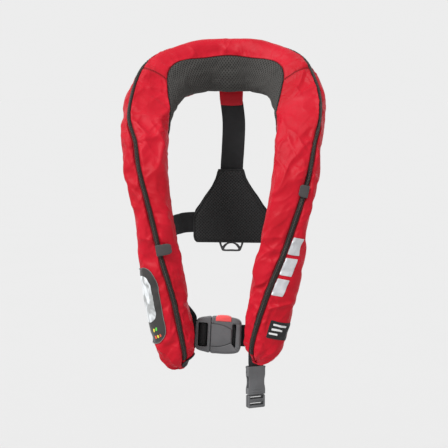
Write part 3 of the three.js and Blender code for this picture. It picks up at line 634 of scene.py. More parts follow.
# Rows of the cloth run across the tube, columns along it; the columns follow the seams.
STEP = 1 / 12
PLACES = np.arange(-144, 145) * STEP
COLUMNS = {"outer": (0, 18), "lining": (18, 32), "inner": (32, 52), "zip": (52, 54)}
TOTAL = 54
ZIP_END = 11.25  # the zip stops short of each arm's foot
TOOTH_PITCH, TOOTH_HALF_WIDTH, TOOTH_FOOT, TOOTH_TOP, TOOTH_LEAN = 2.3, 1.35, 0.1, 1.15, 0.35


def row_of(place):
    return int(round((place + FOOT) / STEP))


def column_rounds(places):
    zip_at, lining, hem = seams(places)
    half = half_zip(places)
    reach = np.abs(places)
    # The lining turns up round the inner corner of each foot.
    hem = hem + 0.07 * smoothstep(reach, 10.6, 11.6)
    stops = (zip_at + half, lining, hem, zip_at - half + 1, zip_at + half + 1)
    parts = []
    for k, (first, last) in enumerate(COLUMNS.values()):
        w = np.linspace(0, 1, last - first + 1)[:-1]
        parts.append(stops[k][:, None] * (1 - w) + stops[k + 1][:, None] * w)
    return np.concatenate(parts, axis=1)


SIMULATED_FRAMES = 22


def simulated(base):
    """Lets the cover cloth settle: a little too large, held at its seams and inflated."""
    rows, cols, _ = base.shape
    mesh = mesh_of("cover_simulation", (base * MM).reshape(-1, 3), grid_faces(rows, cols, wrap=True))
    obj = new_object("cover_simulation", mesh)
    pins = np.zeros((rows, cols))
    for name, (first, last) in COLUMNS.items():
        pins[:, first % cols] = 1.0
        if name in ("zip", "lining"):
            pins[:, first:last] = 1.0
    lining = COLUMNS["lining"]
    pins[:, lining[0] + 2:lining[1] - 1] = 0.35
    pins[:2], pins[-2:] = 1.0, 1.0
    for place in (-SHOULDER_SEAM, SHOULDER_SEAM):
        row = row_of(place)
        pins[row] = np.maximum(pins[row], 0.8)
    group = obj.vertex_groups.new(name="pin")
    for value in np.unique(pins):
        if value > 0:
            group.add([int(i) for i in np.flatnonzero(pins.ravel() == value)], float(value), "REPLACE")
    mod = obj.modifiers.new("cloth", "CLOTH")
    s = mod.settings
    s.quality, s.mass, s.air_damping = 5, 0.15, 1.5
    s.tension_stiffness, s.compression_stiffness, s.shear_stiffness, s.bending_stiffness = 12, 12, 4, 0.08
    s.vertex_group_mass = "pin"
    s.use_pressure, s.uniform_pressure_force = True, 1.2
    s.shrink_min = -0.05
    s.effector_weights.gravity = 0.15
    mod.collision_settings.use_collision = False
    mod.point_cache.frame_start, mod.point_cache.frame_end = 1, SIMULATED_FRAMES
    scene = bpy.context.scene
    for f in range(1, SIMULATED_FRAMES + 1):
        scene.frame_set(f)
    result = read(obj.evaluated_get(bpy.context.evaluated_depsgraph_get()).data.vertices, "co", 3)
    bpy.data.objects.remove(obj)
    scene.frame_set(1)
    return result.reshape(rows, cols, 3) / MM


def gradient_noise(x, y, seed):
    """Smooth noise between about -0.7 and 0.7, one lump to a unit of x and y."""
    x, y = np.broadcast_arrays(np.asarray(x, dtype=float), np.asarray(y, dtype=float))
    xi, yi = np.floor(x).astype(np.int64), np.floor(y).astype(np.int64)
    xf, yf = x - xi, y - yi
    turn = np.random.default_rng(seed).uniform(0, 2 * np.pi, 4096)

    def corner(i, j):
        angle = turn[((xi + i) * 73 + (yi + j) * 1999) % 4096]
        return np.cos(angle) * (xf - i) + np.sin(angle) * (yf - j)

    fade = lambda t: t * t * t * (t * (t * 6 - 15) + 10)
    sx, sy = fade(xf), fade(yf)
    top = corner(0, 0) * (1 - sx) + corner(1, 0) * sx
    foot = corner(0, 1) * (1 - sx) + corner(1, 1) * sx
    return top * (1 - sy) + foot * sy


def folds(u, v, degrees, length, width, seed, sharp=2.0):
    """Ridges that run at an angle to the arm, from 0 to 1, steeper on one side than on the other."""
    c, s = math.cos(math.radians(degrees)), math.sin(math.radians(degrees))
    a, b = u * c + v * s, v * c - u * s
    wander = 0.6 * gradient_noise(a / 60, b / 45, seed + 1)
    n = gradient_noise(a / length, b / width + wander, seed)
    return np.clip(1 - np.where(n > 0, 2.0, 4.2) * np.abs(n), 0, 1) ** sharp


# Flat patches hold the cloth under them smooth: side, then places and shares of the girth.
STIFF = [("left", -10.0, -8.1, 0.03, 0.34), ("right", 7.4, 8.9, -0.02, 0.2), ("right", 9.45, 10.05, 0.02, 0.24),
         ("collar", -0.6, 0.6, -0.5, -0.3)]


def crease_height(u, v, seam, part, side):
    """How far the cloth of a cover stands out, in mm: long slanting folds, finer ones, and gathers along each seam."""
    seed, main, second = CREASES[part, side]
    region = 0.25 + 0.75 * smoothstep(gradient_noise(u / 75, v / 60, seed + 2), -0.22, 0.10)
    patch = smoothstep(gradient_noise(u / 55, v / 48, seed + 3), -0.15, 0.2)
    height = 3.6 * region * folds(u, v, main, 105, 34, seed + 4, sharp=1.5)
    height += 0.9 * (1 - patch) * folds(u, v, main + 14, 60, 20, seed + 5)
    height += 1.9 * patch * folds(u, v, second, 66, 25, seed + 6)
    height += 2.4 * gradient_noise(u / 56, v / 40, seed + 8) + 0.35 * gradient_noise(u / 22, v / 20, seed + 9)
    turn = (v / GIRTH) % 1.0
    # The cloth is drawn tight over the tube's two sides.
    tight = 0.8 * np.exp(-((turn - 0.25) / 0.08) ** 2) + 0.7 * np.exp(-((turn - 0.75) / 0.07) ** 2)
    height = (height - 1.5) * smoothstep(seam, 0.5, 11.0) * (1 - tight)
    for arm, first, last, low, high in STIFF:
        if part == "outer" and arm == side:
            at = np.interp([first, last], PLACES, ALONG)
            inside = smoothstep(u, at[0] - 8, at[0] + 3) * smoothstep(-u, -at[1] - 8, -at[1] + 3)
            front = (turn + 0.5) % 1.0 - 0.5
            inside *= smoothstep(front, low - 0.04, low + 0.01) * smoothstep(-front, -high - 0.04, -high + 0.01)
            height *= 1 - 0.85 * inside
    gathers = gradient_noise((u + 0.45 * seam) / 7.5, v / 60, seed + 10)
    height += 1.3 * gathers * smoothstep(seam, 0.0, 3.0) * np.exp(-((seam - 4) / 8.0) ** 2)
    return height - 0.9 * np.exp(-(seam / 3.0) ** 2) - 0.5


# Seed, and the angles of the main and the crossing folds, from the horseshoe's length towards the outer side.
CREASES = {("outer", "left"): (110, 44, -30), ("inner", "left"): (240, 52, -38),
           ("outer", "collar"): (370, 74, -55), ("inner", "collar"): (400, 80, -60),
           ("outer", "right"): (530, -44, 30), ("inner", "right"): (660, -52, 36)}


def crumple(obj, part, side):
    """Creases a cover panel along its own normals."""
    mesh = obj.data
    at = np.zeros((len(mesh.vertices), 2))
    at[read(mesh.loops, "vertex_index", 1, np.int64)] = read(mesh.uv_layers.active.data, "uv", 2) / MM
    seam = read(mesh.attributes["seam"].data, "value", 1) / MM
    height = crease_height(at[:, 0], at[:, 1], seam, part, side)
    co = read(mesh.vertices, "co", 3) + (height * MM)[:, None] * read(mesh.vertex_normals, "vector", 3)
    mesh.vertices.foreach_set("co", co.astype(np.float32).ravel())
    mesh.update()


def waves(length, wavelengths, seed):
    """A wandering wave along a length in mm, from a few sines."""
    gen = np.random.default_rng(seed)
    total = np.zeros_like(length)
    for w in wavelengths:
        total += np.sin(2 * np.pi * length / w + gen.uniform(0, 2 * np.pi)) * gen.uniform(0.6, 1.0)
    return total / len(wavelengths)


SETTLED_MOST = 3.2  # how far the simulation may move the cloth


def skin_normals(points):
    """Outward normals of a grid that closes on itself across the tube."""
    return grid_normals(np.concatenate([points[:, -1:], points, points[:, :1]], axis=1))[:, 1:-1]


def ridge(distance, at, width):
    return np.exp(-((distance - at) / width) ** 2)


def make_field():
    """The dressed skin: points (rows, TOTAL, 3) in mm, outward normals, lengths along and across."""
    rounds = column_rounds(PLACES)
    base = skin(PLACES, rounds)
    normal = skin_normals(base)
    along = path_length(tube(PLACES)[0])
    across = rounds * GIRTH
    field = base.copy()
    shift = simulated(base) - base
    size = np.linalg.norm(shift, axis=2, keepdims=True)
    shift *= np.minimum(1, SETTLED_MOST * np.tanh(size / SETTLED_MOST) / np.maximum(size, 1e-6))
    field += shift
    # Puckers where the cloth is gathered along the zip.
    for name, seed, start, slope in (("outer", 11, 0, -0.4), ("inner", 63, GIRTH - ZIP_WIDTH, 0.5)):
        cols = np.arange(*COLUMNS[name])
        distance = np.abs(across[:, cols] - (across[:, [0]] + start))
        slant = along[:, None] + slope * distance
        pucker = 0.9 * ridge(distance, 9, 12.0) * waves(slant, (13, 19, 28, 41), seed)
        broad = 1.1 * ridge(distance, 32, 26.0) * waves(slant + 0.5 * distance, (47, 66, 95), seed + 20)
        field[:, cols] += (pucker + broad)[..., None] * normal[:, cols]
    # A rolled edge along the collar's hem.
    collar = np.exp(-(PLACES / 2.4) ** 4)[:, None]
    cols = np.arange(*COLUMNS["inner"])
    from_hem = across[:, cols] - across[:, cols[:1]]
    roll = 0.9 * ridge(from_hem, 12, 11.0) * waves(along[:, None] + 0.3 * from_hem, (17, 26, 43), 77)
    field[:, cols] += (collar * roll)[..., None] * normal[:, cols]
    # Each seam lies in a small valley.
    for name, (first, _) in COLUMNS.items():
        field[:, first] -= (0.3 if name == "zip" else 0.7) * normal[:, first]
    return field, skin_normals(field), along, across


FIELD, FIELD_NORMAL, ALONG, ACROSS = make_field()


HEM_DEPTH = 2.2  # how far a panel's edge is turned under
ALLOWANCE_DEPTH = 2.5  # how far behind the skin the cloth at the seams lies


def panel(name, mat, cols, places, lift=0.0, seam_rows=True, levels=1):
    """A panel of cloth between two columns and two places, its edges turned under."""
    j = np.arange(cols[0], cols[1] + 1)
    i = np.arange(row_of(places[0]), row_of(places[1]) + 1)
    normal = FIELD_NORMAL[np.ix_(i, j % TOTAL)]
    grid = FIELD[np.ix_(i, j % TOTAL)] + lift * normal
    u = np.repeat(ALONG[i][:, None], len(j), axis=1)
    v = ACROSS[np.ix_(i, j % TOTAL)] + (j // TOTAL) * GIRTH
    seam = np.minimum(v - v[:, :1], v[:, -1:] - v)
    if seam_rows:
        # Where a panel meets the next one along the horseshoe, its end rows sink a little.
        for k, place in zip((0, -1), places):
            if abs(place) < FOOT:
                seam = np.minimum(seam, np.abs(u - u[k]))
                grid[k] -= 0.5 * normal[k]

    def bordered(a):
        return np.pad(a, ((1, 1), (1, 1)) + ((0, 0),) * (a.ndim - 2), mode="edge")

    grid, normal, u, v, seam = (bordered(a) for a in (grid, normal, u, v, seam))
    under = np.zeros(u.shape)
    under[0] = under[-1] = under[:, 0] = under[:, -1] = HEM_DEPTH
    grid = grid - under[..., None] * normal
    uv = np.stack([u, v], axis=2).reshape(-1, 2) * MM
    mesh = mesh_of(name, grid.reshape(-1, 3) * MM, grid_faces(*u.shape), uv=uv, seam=seam.ravel() * MM)
    return subdivided(new_object(name, mesh, mat), levels)


def cover_panels():
    ends = {"left": (-FOOT, -SHOULDER_SEAM), "collar": (-SHOULDER_SEAM, SHOULDER_SEAM), "right": (SHOULDER_SEAM, FOOT)}
    for side, places in ends.items():
        for part in ("outer", "inner"):
            node = "cover_" + part + "_" + side
            obj = panel(node + "_cloth", RED, COLUMNS[part], places, levels=2)
            crumple(obj, part, side)
            placed(obj, "jacket", "red_fabric", node)
    for name, places, mat, slot in (("backing_left", (-FOOT, -LINING_JOIN), BLACK, "black_fabric"),
                                    ("collar_mesh_liner", (-LINING_JOIN, LINING_JOIN), COLLAR_MESH, "mesh_fabric"),
                                    ("backing_right", (LINING_JOIN, FOOT), BLACK, "black_fabric")):
        placed(panel(name + "_cloth", mat, COLUMNS["lining"], places, lift=-0.3), "jacket", slot, name)
    for side, name, places in ((-1, "left", (-FOOT, -ZIP_END)), (1, "right", (ZIP_END, FOOT))):
        placed(panel("cover_foot_gusset_" + name, RED, COLUMNS["zip"], places, lift=0.3), "jacket", "red_fabric")
        foot_cap(side, name)


def seam_allowances():
    """The cloth turned in behind every seam, which closes the joint between two panels; its red is darkened as painted
    shade.
    """
    rows = len(PLACES)
    along = [first % TOTAL for first, _ in COLUMNS.values()]
    across = {row_of(at) for at in (-SHOULDER_SEAM, SHOULDER_SEAM, -LINING_JOIN, LINING_JOIN)}
    faces = [face for n, face in enumerate(grid_faces(rows, TOTAL, wrap=True))
             if n // TOTAL in across or n // TOTAL + 1 in across
             or any((n - c) % TOTAL in (0, TOTAL - 1) for c in along)]
    used, index = np.unique(np.array(faces), return_inverse=True)
    points = (FIELD - ALLOWANCE_DEPTH * FIELD_NORMAL).reshape(-1, 3)[used]
    uv = np.stack([np.repeat(ALONG[:, None], TOTAL, axis=1), ACROSS], axis=2).reshape(-1, 2)[used]
    placed(sheet_object("cover_seam_allowance", SEAM_RED_PAINTED_SHADE, points, index.reshape(-1, 4).tolist(), uv), "jacket",
           "red_fabric")


def foot_trim():
    """Black cloth round the inner corner of the left arm's foot, where the belt sleeve is sewn on."""
    rows, cols = 14, 12
    places = np.linspace(-11.99, -10.95, rows)
    low = 0.62
    high = 0.78 + 0.18 * smoothstep(-places, 10.95, 11.6)
    around = low + (high - low)[:, None] * np.linspace(0, 1, cols)
    grid, _ = sample(places, around, 1.3)
    uv = np.stack([around * GIRTH, around * 0 + places[:, None] * 58], axis=2)
    obj = sheet_object("cover_foot_trim_left", SLEEVE, grid, grid_faces(rows, cols), uv)
    placed(thickened(obj, 1.0, offset=1.0), "jacket", "black_fabric")


def foot_cap(side, label):
    """Closes the foot of an arm with a puckered end."""
    edge = FIELD[0 if side < 0 else -1]
    centre = edge.mean(axis=0)
    out = tube([side * FOOT])[1][0] * side
    rings = [edge] + [centre + size * (edge - centre) + bulge * out for size, bulge in ((0.72, 2.4), (0.35, 3.4))]
    points = np.concatenate(rings + [centre[None] + 3.6 * out])
    tip = 3 * TOTAL
    faces = grid_faces(3, TOTAL, wrap=True)
    faces += [(2 * TOTAL + j, tip, 2 * TOTAL + (j + 1) % TOTAL) for j in range(TOTAL)]
    if side < 0:
        faces = [f[::-1] for f in faces]
    tip_cloth = sheet_object("cover_foot_tip_" + label, RED, points, faces, points[:, :2])
    placed(subdivided(tip_cloth), "jacket", "red_fabric")


def sample(places, rounds, proud=0.0, creased=False):
    """Points and normals of the dressed skin at places (n,) and rounds (n, m), with its creases if asked."""
    places = np.asarray(places, dtype=float)
    rows = np.clip((places + FOOT) / STEP, 0, len(PLACES) - 1.001)
    points, normals = [], []
    for r, around in zip(rows, np.atleast_2d(rounds)):
        i, w = int(r), r - int(r)
        low = np.concatenate([ACROSS[i], ACROSS[i][:1] + GIRTH]) / GIRTH
        line = (1 - w) * FIELD[i] + w * FIELD[i + 1]
        norm = (1 - w) * FIELD_NORMAL[i] + w * FIELD_NORMAL[i + 1]
        line, norm = (np.concatenate([a, a[:1]]) for a in (line, norm))
        at = low[0] + (np.asarray(around) - low[0]) % 1.0
        points.append(np.stack([np.interp(at, low, line[:, k]) for k in range(3)], axis=1))
        normals.append(unit(np.stack([np.interp(at, low, norm[:, k]) for k in range(3)], axis=1)))
    points, normals = np.array(points), np.array(normals)
    if creased:
        rounds = np.atleast_2d(rounds)
        zips, lining, _ = seams(places)
        v = rounds * GIRTH
        u = np.broadcast_to(np.interp(places, PLACES, ALONG)[:, None], v.shape)
        seam = np.minimum(v - (zips + half_zip(places))[:, None] * GIRTH, lining[:, None] * GIRTH - v)
        side = "right" if places[0] > 0 else "left"
        proud = proud + crease_height(u, v, np.maximum(seam, 0), "outer", side)[..., None]
    return points + proud * normals, normals


def zip_line():
    """Tape and coil teeth of the burst zip, from foot to foot."""
    tape = panel("burst_zip_tape", ZIP_TAPE, COLUMNS["zip"], (-ZIP_END, ZIP_END), lift=0.1, seam_rows=False)
    placed(tape, "jacket", "zip_tape", "burst_zip")
    first, last = row_of(-ZIP_END), row_of(ZIP_END)
    count = int((ALONG[last] - ALONG[first]) / TOOTH_PITCH)
    at = np.interp(ALONG[first] + (np.arange(count) + 0.5) * TOOTH_PITCH, ALONG, PLACES)
    middle = seams(at)[0]
    half = TOOTH_HALF_WIDTH / GIRTH
    points, faces = [], []
    for k in range(count):
        pts, nrm = sample([at[k] - 0.012, at[k] + 0.012], np.array([[middle[k] - half, middle[k] + half]] * 2))
        foot = np.array([pts[0, 0], pts[1, 0], pts[1, 1], pts[0, 1]])
        out = nrm.mean(axis=(0, 1))
        lean = (TOOTH_LEAN if k % 2 else -TOOTH_LEAN) * unit(pts[0, 1] - pts[0, 0])
        centre = foot.mean(axis=0)
        start = len(points)
        top = centre + 0.75 * (foot - centre)
        points += list(foot + TOOTH_FOOT * out + lean) + list(top + TOOTH_TOP * out + lean)
        quads = ((0, 1, 5, 4), (1, 2, 6, 5), (2, 3, 7, 6), (3, 0, 4, 7), (4, 5, 6, 7))
        faces += [tuple(start + q for q in quad) for quad in quads]
    obj = new_object("burst_zip_coil", mesh_of("burst_zip_coil", np.array(points) * MM, faces), ZIP_TEETH)
    placed(facing_out(obj), "jacket", "zip_tape")


def skin_patch(name, mat, places, rounds, proud, thick, rows, cols, slot="reflective", round_ends=0.0, nodes=()):
    """A patch that follows the dressed skin; rounds are its low and high edges, each at both ends."""
    w = np.linspace(0, 1, rows)
    low, high = (np.interp(w, [0, 1], edge) for edge in rounds)
    mid, half = (low + high) / 2, (high - low) / 2
    if round_ends:
        half = half * rounded_end(w, 1 - round_ends, round_ends)
    around = mid[:, None] + half[:, None] * np.linspace(-1, 1, cols)
    grid, _ = sample(np.linspace(*places, rows), around, proud, creased=True)
    u = path_length(grid[:, cols // 2])
    uv = np.stack([np.repeat(u[:, None], cols, axis=1), around * GIRTH], axis=2)
    obj = thickened(sheet_object(name, mat, grid, grid_faces(rows, cols), uv), thick, offset=1.0)
    return placed(obj, "jacket", slot, *nodes)


def rounded_end(w, start, run):
    """How far a rounded patch's half width is drawn in towards its two ends, w from 0 to 1."""
    end = np.clip((np.abs(2 * w - 1) - start) / run, 0, 1)
    return 0.25 + 0.75 * np.sqrt(np.maximum(0, 1 - end ** 2))


WINDOW_PLACES = (-9.98, -8.1)
WINDOW_LOW, WINDOW_HIGH = 0.045, 0.332
WINDOW_EDGE = ((WINDOW_LOW,) * 2, (WINDOW_HIGH,) * 2)
LENS_PLACES = (-9.38, -8.27)
WELT_SQUARENESS = 4.5


def window():
    skin_patch("window_frame_sheet", FRAME_GREY, WINDOW_PLACES, WINDOW_EDGE, 0.3, 1.2, rows=26, cols=14,
               slot="dark_plastic", round_ends=0.5, nodes=["window_frame"])
    window_welt()
    skin_patch("window_lens_sheet", LENS_SHEET, LENS_PLACES, ((0.095, 0.112), (0.285, 0.28)), 1.5, 0.7, rows=22,
               cols=12, slot="clear_plastic", round_ends=0.45, nodes=["window_lens"])
    marks = ((-9.56, 0.128, INDICATOR_GREEN), (-9.585, 0.152, INDICATOR_YELLOW), (-9.75, 0.105, INDICATOR_RED),
             (-9.76, 0.128, INDICATOR_YELLOW), (-9.77, 0.151, INDICATOR_RED))
    for k, (place, at, mat) in enumerate(marks):
        skin_patch("window_mark_%d" % (k + 1), mat, (place - 0.045, place + 0.045),
                   ((at - 0.008,) * 2, (at + 0.008,) * 2), 1.5, 0.5, rows=4, cols=4, slot="dark_plastic")


def window_welt():
    """The pale welded line round the window."""
    t = np.linspace(0, 2 * np.pi, 120, endpoint=False)
    mid = sum(WINDOW_PLACES) / 2
    half = (WINDOW_PLACES[1] - WINDOW_PLACES[0]) / 2
    s = mid + half * np.sign(np.cos(t)) * np.abs(np.cos(t)) ** (2 / WELT_SQUARENESS)
    reach = rounded_end((s - WINDOW_PLACES[0]) / (2 * half), 0.5, 0.5)
    swing = np.clip(np.sign(np.sin(t)) * np.abs(np.sin(t)) ** 0.12, -1, 1)
    r = (WINDOW_LOW + WINDOW_HIGH) / 2 + (WINDOW_HIGH - WINDOW_LOW) / 2 * reach * swing
    centre = np.array([sample([a], [[b]], 1.3, creased=True)[0][0, 0] for a, b in zip(s, r)])
    closed_tube("window_welt", centre, 0.55, EDGE_GREY, "dark_plastic")


def closed_tube(name, path, radius, mat, slot):
    """A round welt or binding along a closed path in mm."""
    sides = 8
    tangent = unit(np.roll(path, -1, axis=0) - np.roll(path, 1, axis=0))
    a = unit(np.cross(tangent, (0.21, 0.34, 0.91)))
    b = np.cross(tangent, a)
    ang = np.linspace(0, 2 * np.pi, sides, endpoint=False)
    rings = path[:, None] + radius * (np.cos(ang)[None, :, None] * a[:, None] + np.sin(ang)[None, :, None] * b[:, None])
    rings = np.concatenate([rings, rings[:1]])
    rows = len(rings)
    length = path_length(path)
    length = np.append(length, length[-1])
    uv = np.stack([np.repeat(length[:, None], sides, axis=1), np.tile(ang * radius, (rows, 1))], axis=2)
    placed(sheet_object(name, mat, rings, grid_faces(rows, sides, wrap=True), uv), "jacket", slot)


def patches():
    for k in range(3):
        places = (7.43 + 0.5 * k, 7.85 + 0.5 * k)
        zips = seams(places)[0]
        skin_patch("reflector_bar_film_%d" % (k + 1), SILVER, places, (zips + 0.031, zips + 0.126), 0.25, 0.35,
                   rows=12, cols=10, nodes=["reflector_bar_%d" % (k + 1)])
    skin_patch("woven_label_cloth", LABEL, (9.47, 10.0), ((0.045, 0.03), (0.235, 0.22)), 0.3, 0.6, rows=12, cols=12,
               slot="black_fabric", nodes=["woven_label"])
    # Plain woven bars stand for the label's text.
    for k, (low, high) in enumerate(((0.07, 0.185), (0.07, 0.16), (0.06, 0.13))):
        start = 9.55 + 0.13 * k
        skin_patch("woven_label_bar_%d" % (k + 1), LABEL_THREAD, (start, start + 0.06),
                   ((low - 0.006 * k,) * 2, (high - 0.006 * k,) * 2), 1.15, 0.4, rows=4, cols=10, slot="black_fabric")


# ------------------------------------------------------------------ tabs and slider on the zip
def stand_on(place, proud):
    """The CAD's frame on the zip: X along the horseshoe, Y towards the outer edge, Z away from the cover."""
    at = float(seams([place])[0][0])
    surface = skin([place], [[at]], proud)[0, 0]
    along = unit(skin([place + 0.05], [[at]], proud)[0, 0] - surface)
    across = unit(skin([place], [[at + 0.005]], proud)[0, 0] - surface)
    out = unit(np.cross(along, across))
    centre = tube([place])[0][0]
    if np.dot(out, surface - centre) < 0:
        out = -out
    across = unit(np.cross(out, along))
    matrix = Matrix.Identity(4)
    for k, axis in enumerate((along, across, out)):
        for r in range(3):
            matrix[r][k] = axis[r]
    for r in range(3):
        matrix[r][3] = surface[r] * MM
    return matrix


SLIDER_PLACE, RIGHT_TAB_PLACE, TAB_PROUD = -7.75, 6.4, 4.6


def zip_tab(side, place, proud, reach, width):
    """A doubled cloth tab, sewn down along the zip and curving with the arm."""
    rows, cols = 12, 12
    points, uv = [], []
    for i in range(rows):
        y = 5 - reach * i / (rows - 1)
        into = np.clip((i / (rows - 1) - 0.68) / 0.32, 0, 1)
        half = width / 2 * math.sqrt(max(1 - (into * 0.75) ** 2, 0.05))
        drop = 0.5 - 0.0042 * max(0.0, 3 - y) ** 2 - 1.2 * math.exp(-((y - 4) / 1.6) ** 2)
        for x in np.linspace(-1, 1, cols):
            points.append((x * half, y, drop + 0.35 * (1 - x ** 4)))
            uv.append((y, x * half))
    name = "zip_tab_" + side
    base = thickened(sheet_object(name + "_cloth", TAB_GREY, points, grid_faces(rows, cols), uv), 1.7, offset=0.0)
    placed(moved(base, stand_on(place, proud)), "tab_" + side, "dark_plastic", name)


def zip_slider():
    body = plate("slider_body", [smooth_loop([(-5.6, 0), (-3.5, 2.6), (0, 3.2), (4.5, 2.0), (5.8, 0), (4.5, -2.0),
                                              (0, -3.2), (-3.5, -2.6)])], 0, 2.1, 0.7, DARK)
    bridge = plate("slider_bridge", [rounded(-3.4, 3.4, -0.9, 0.9, 0.8)], -0.75, 0.4, 0.3, STEEL)
    obj = joined("zip_slider_body", [body, bridge])
    # The plate is thick in Y; on the zip it lies flat, thick away from the cover.
    moved(obj, stand_on(SLIDER_PLACE, 1.8) @ Matrix(((1, 0, 0, 0), (0, 0, 1, 0), (0, -1, 0, 2.1 * MM), (0, 0, 0, 1))))
    placed(obj, "slider", "dark_plastic", "zip_slider")


# ------------------------------------------------------------------ webbing
def webbing(name, points, width, across, thick=2.2, steps=90, ripple=0.25, seed=3):
    """Flat tape along a curve. across(t, tangent, point) gives the direction of its width."""
    t = np.linspace(0, 1, steps)
    path = catmull(points, t)
    tangent = unit(np.gradient(path, axis=0))
    wide = unit(np.array([across(a, d, p) for a, d, p in zip(t, tangent, path)]))
    out = unit(np.cross(wide, tangent))
    length = path_length(path)
    sway = ripple * waves(length, (37, 61, 97), seed)
    section = [(-1 + k / 4, 1) for k in range(9)] + [(1 - k / 4, -1) for k in range(9)]
    cols = len(section)
    points_out, uv = [], []
    for i in range(steps):
        for a, side in section:
            offset = side * thick / 2 * (1 - 0.45 * abs(a) ** 10) + sway[i]
            points_out.append(path[i] + wide[i] * a * width / 2 + out[i] * offset)
            uv.append((length[i], a * width / 2))
    faces = grid_faces(steps, cols, wrap=True)
    faces += [tuple(range(cols))[::-1], tuple((steps - 1) * cols + k for k in range(cols))]
    return shaded(facing_out(sheet_object(name, WEBBING, points_out, faces, uv)), 50)


BELT = [(60, -65.5, -408), (90, -65.5, -405), (100, -58, -396), (104, -26, -360), (107, 24, -290), (105, 74, -243),
        (93, 106, -235), (71, 120.7, -233.5), (36, 121, -233)]


def against_trunk(_, along, point):
    """The belt's width stands upright on the trunk, an oval round the point (0, 25)."""
    return np.cross(along, (point[0] * 0.8, point[1] - 25, 0))


def sideways(*_):
    return 1, 0, 0


def straps():
    left = [(-x, y, z) for x, y, z in BELT]
    belt = webbing("waist_belt_webbing", left + BELT[::-1], 38, against_trunk, steps=220)
    placed(belt, "jacket", "webbing", "waist_belt")
    run = [(0, 111.4, 13), (1, 108.8, -4), (3, 107.4, -16), (6, 109.2, -50), (4, 113, -95), (2, 118, -118),
           (1, 120.8, -134), (0, 121, -168)]
    placed(webbing("back_strap_webbing", run, 42, sideways, ripple=0.8, seed=9), "jacket", "webbing", "back_strap")
    anchor_tab()
    stitch_box("back_strap_stitches", (2.0, 104.3, -8.5), 34, 9)


def collar_rear(x, z):
    """How far back the dressed collar reaches at a place across it and a height."""
    points, _ = sample([x / 48], np.linspace(0.5, 0.73, 40)[None])
    line = points[0][np.argsort(points[0][:, 2])]
    return float(np.interp(z, line[:, 2], line[:, 1]))


def anchor_tab():
    """The red tab sewn on the collar's lower rear, that the back strap hangs from."""
    rows, cols = 18, 12
    points, uv = [], []
    for v in (i / (rows - 1) for i in range(rows)):
        z = 38 - 53 * v
        flat = float(np.interp(v, [0, 1 / 3.8, 0.6, 1], [112.4, 110.6, 107.4, 104.6]))
        half = 24 - 3.5 * v
        sewn = 1 - float(smoothstep(v, 0.1, 0.45))
        for w in (-1 + 2 * j / (cols - 1) for j in range(cols)):
            x = w * half + 2.0 * v
            sag = 1.2 * (1 - w * w) * math.sin(math.pi * v) + 0.4 * math.sin(5 * w + 4 * v)
            on_collar = collar_rear(x, z) + 1.1
            y = (1 - sewn) * (flat - 0.4 * sag) + sewn * on_collar
            points.append((x, max(y, on_collar) if z > 14 else y, z - 1.5 * (v > 0.99) * (1 - abs(w))))
            uv.append((z, w * half))
    obj = sheet_object("strap_anchor_cloth", RED_TAB, points, grid_faces(rows, cols), uv)
    placed(thickened(obj, 1.5, offset=0.0), "jacket", "red_fabric", "strap_anchor_tab")


def stitch_box(name, centre, width, height):
    """A sewn box with a cross in it, in thread, facing the front."""
    corners = [np.array(centre) + (a * width / 2, 0, b * height / 2)
               for a, b in ((-1, -1), (1, -1), (1, 1), (-1, 1), (-1, -1), (1, 1), (1, -1), (-1, 1))]
    lift = np.array([0, -0.35, 0])
    points, faces = [], []
    for p, q in zip(corners, corners[1:]):
        count = max(2, int(np.linalg.norm(q - p) / 3.2))
        for m in range(count):
            s, e = p + (q - p) * (m + 0.15) / count, p + (q - p) * (m + 0.85) / count
            side = unit(np.cross(unit(e - s), (0, 1, 0))) * 0.3
            n = len(points)
            points += [s - side, s + side, e + side, e - side, (s - side) * 0.5 + (e - side) * 0.5 + lift,
                       (s + side) * 0.5 + (e + side) * 0.5 + lift]
            faces += [(n, n + 4, n + 5, n + 1), (n + 4, n + 3, n + 2, n + 5), (n, n + 3, n + 4), (n + 1, n + 5, n + 2)]
    placed(new_object(name, mesh_of(name, np.array(points) * MM, faces), RED_TAB), "jacket", "red_fabric")


# ------------------------------------------------------------------ back pad
PAD_TOP, PAD_FOOT = -135.0, -269.5


def pad_half(z):
    """Half width of the back pad at a height."""
    zs = np.array([PAD_TOP, -150, -165, -178, -191, -201, -210, -217, -223, -260, -266, PAD_FOOT])
    xs = np.array([23.0, 27.0, 34.0, 41.5, 50.0, 55.5, 60.5, 65.5, 68.8, 69.0, 67.5, 64.0])
    return np.interp(-z, -zs, xs)


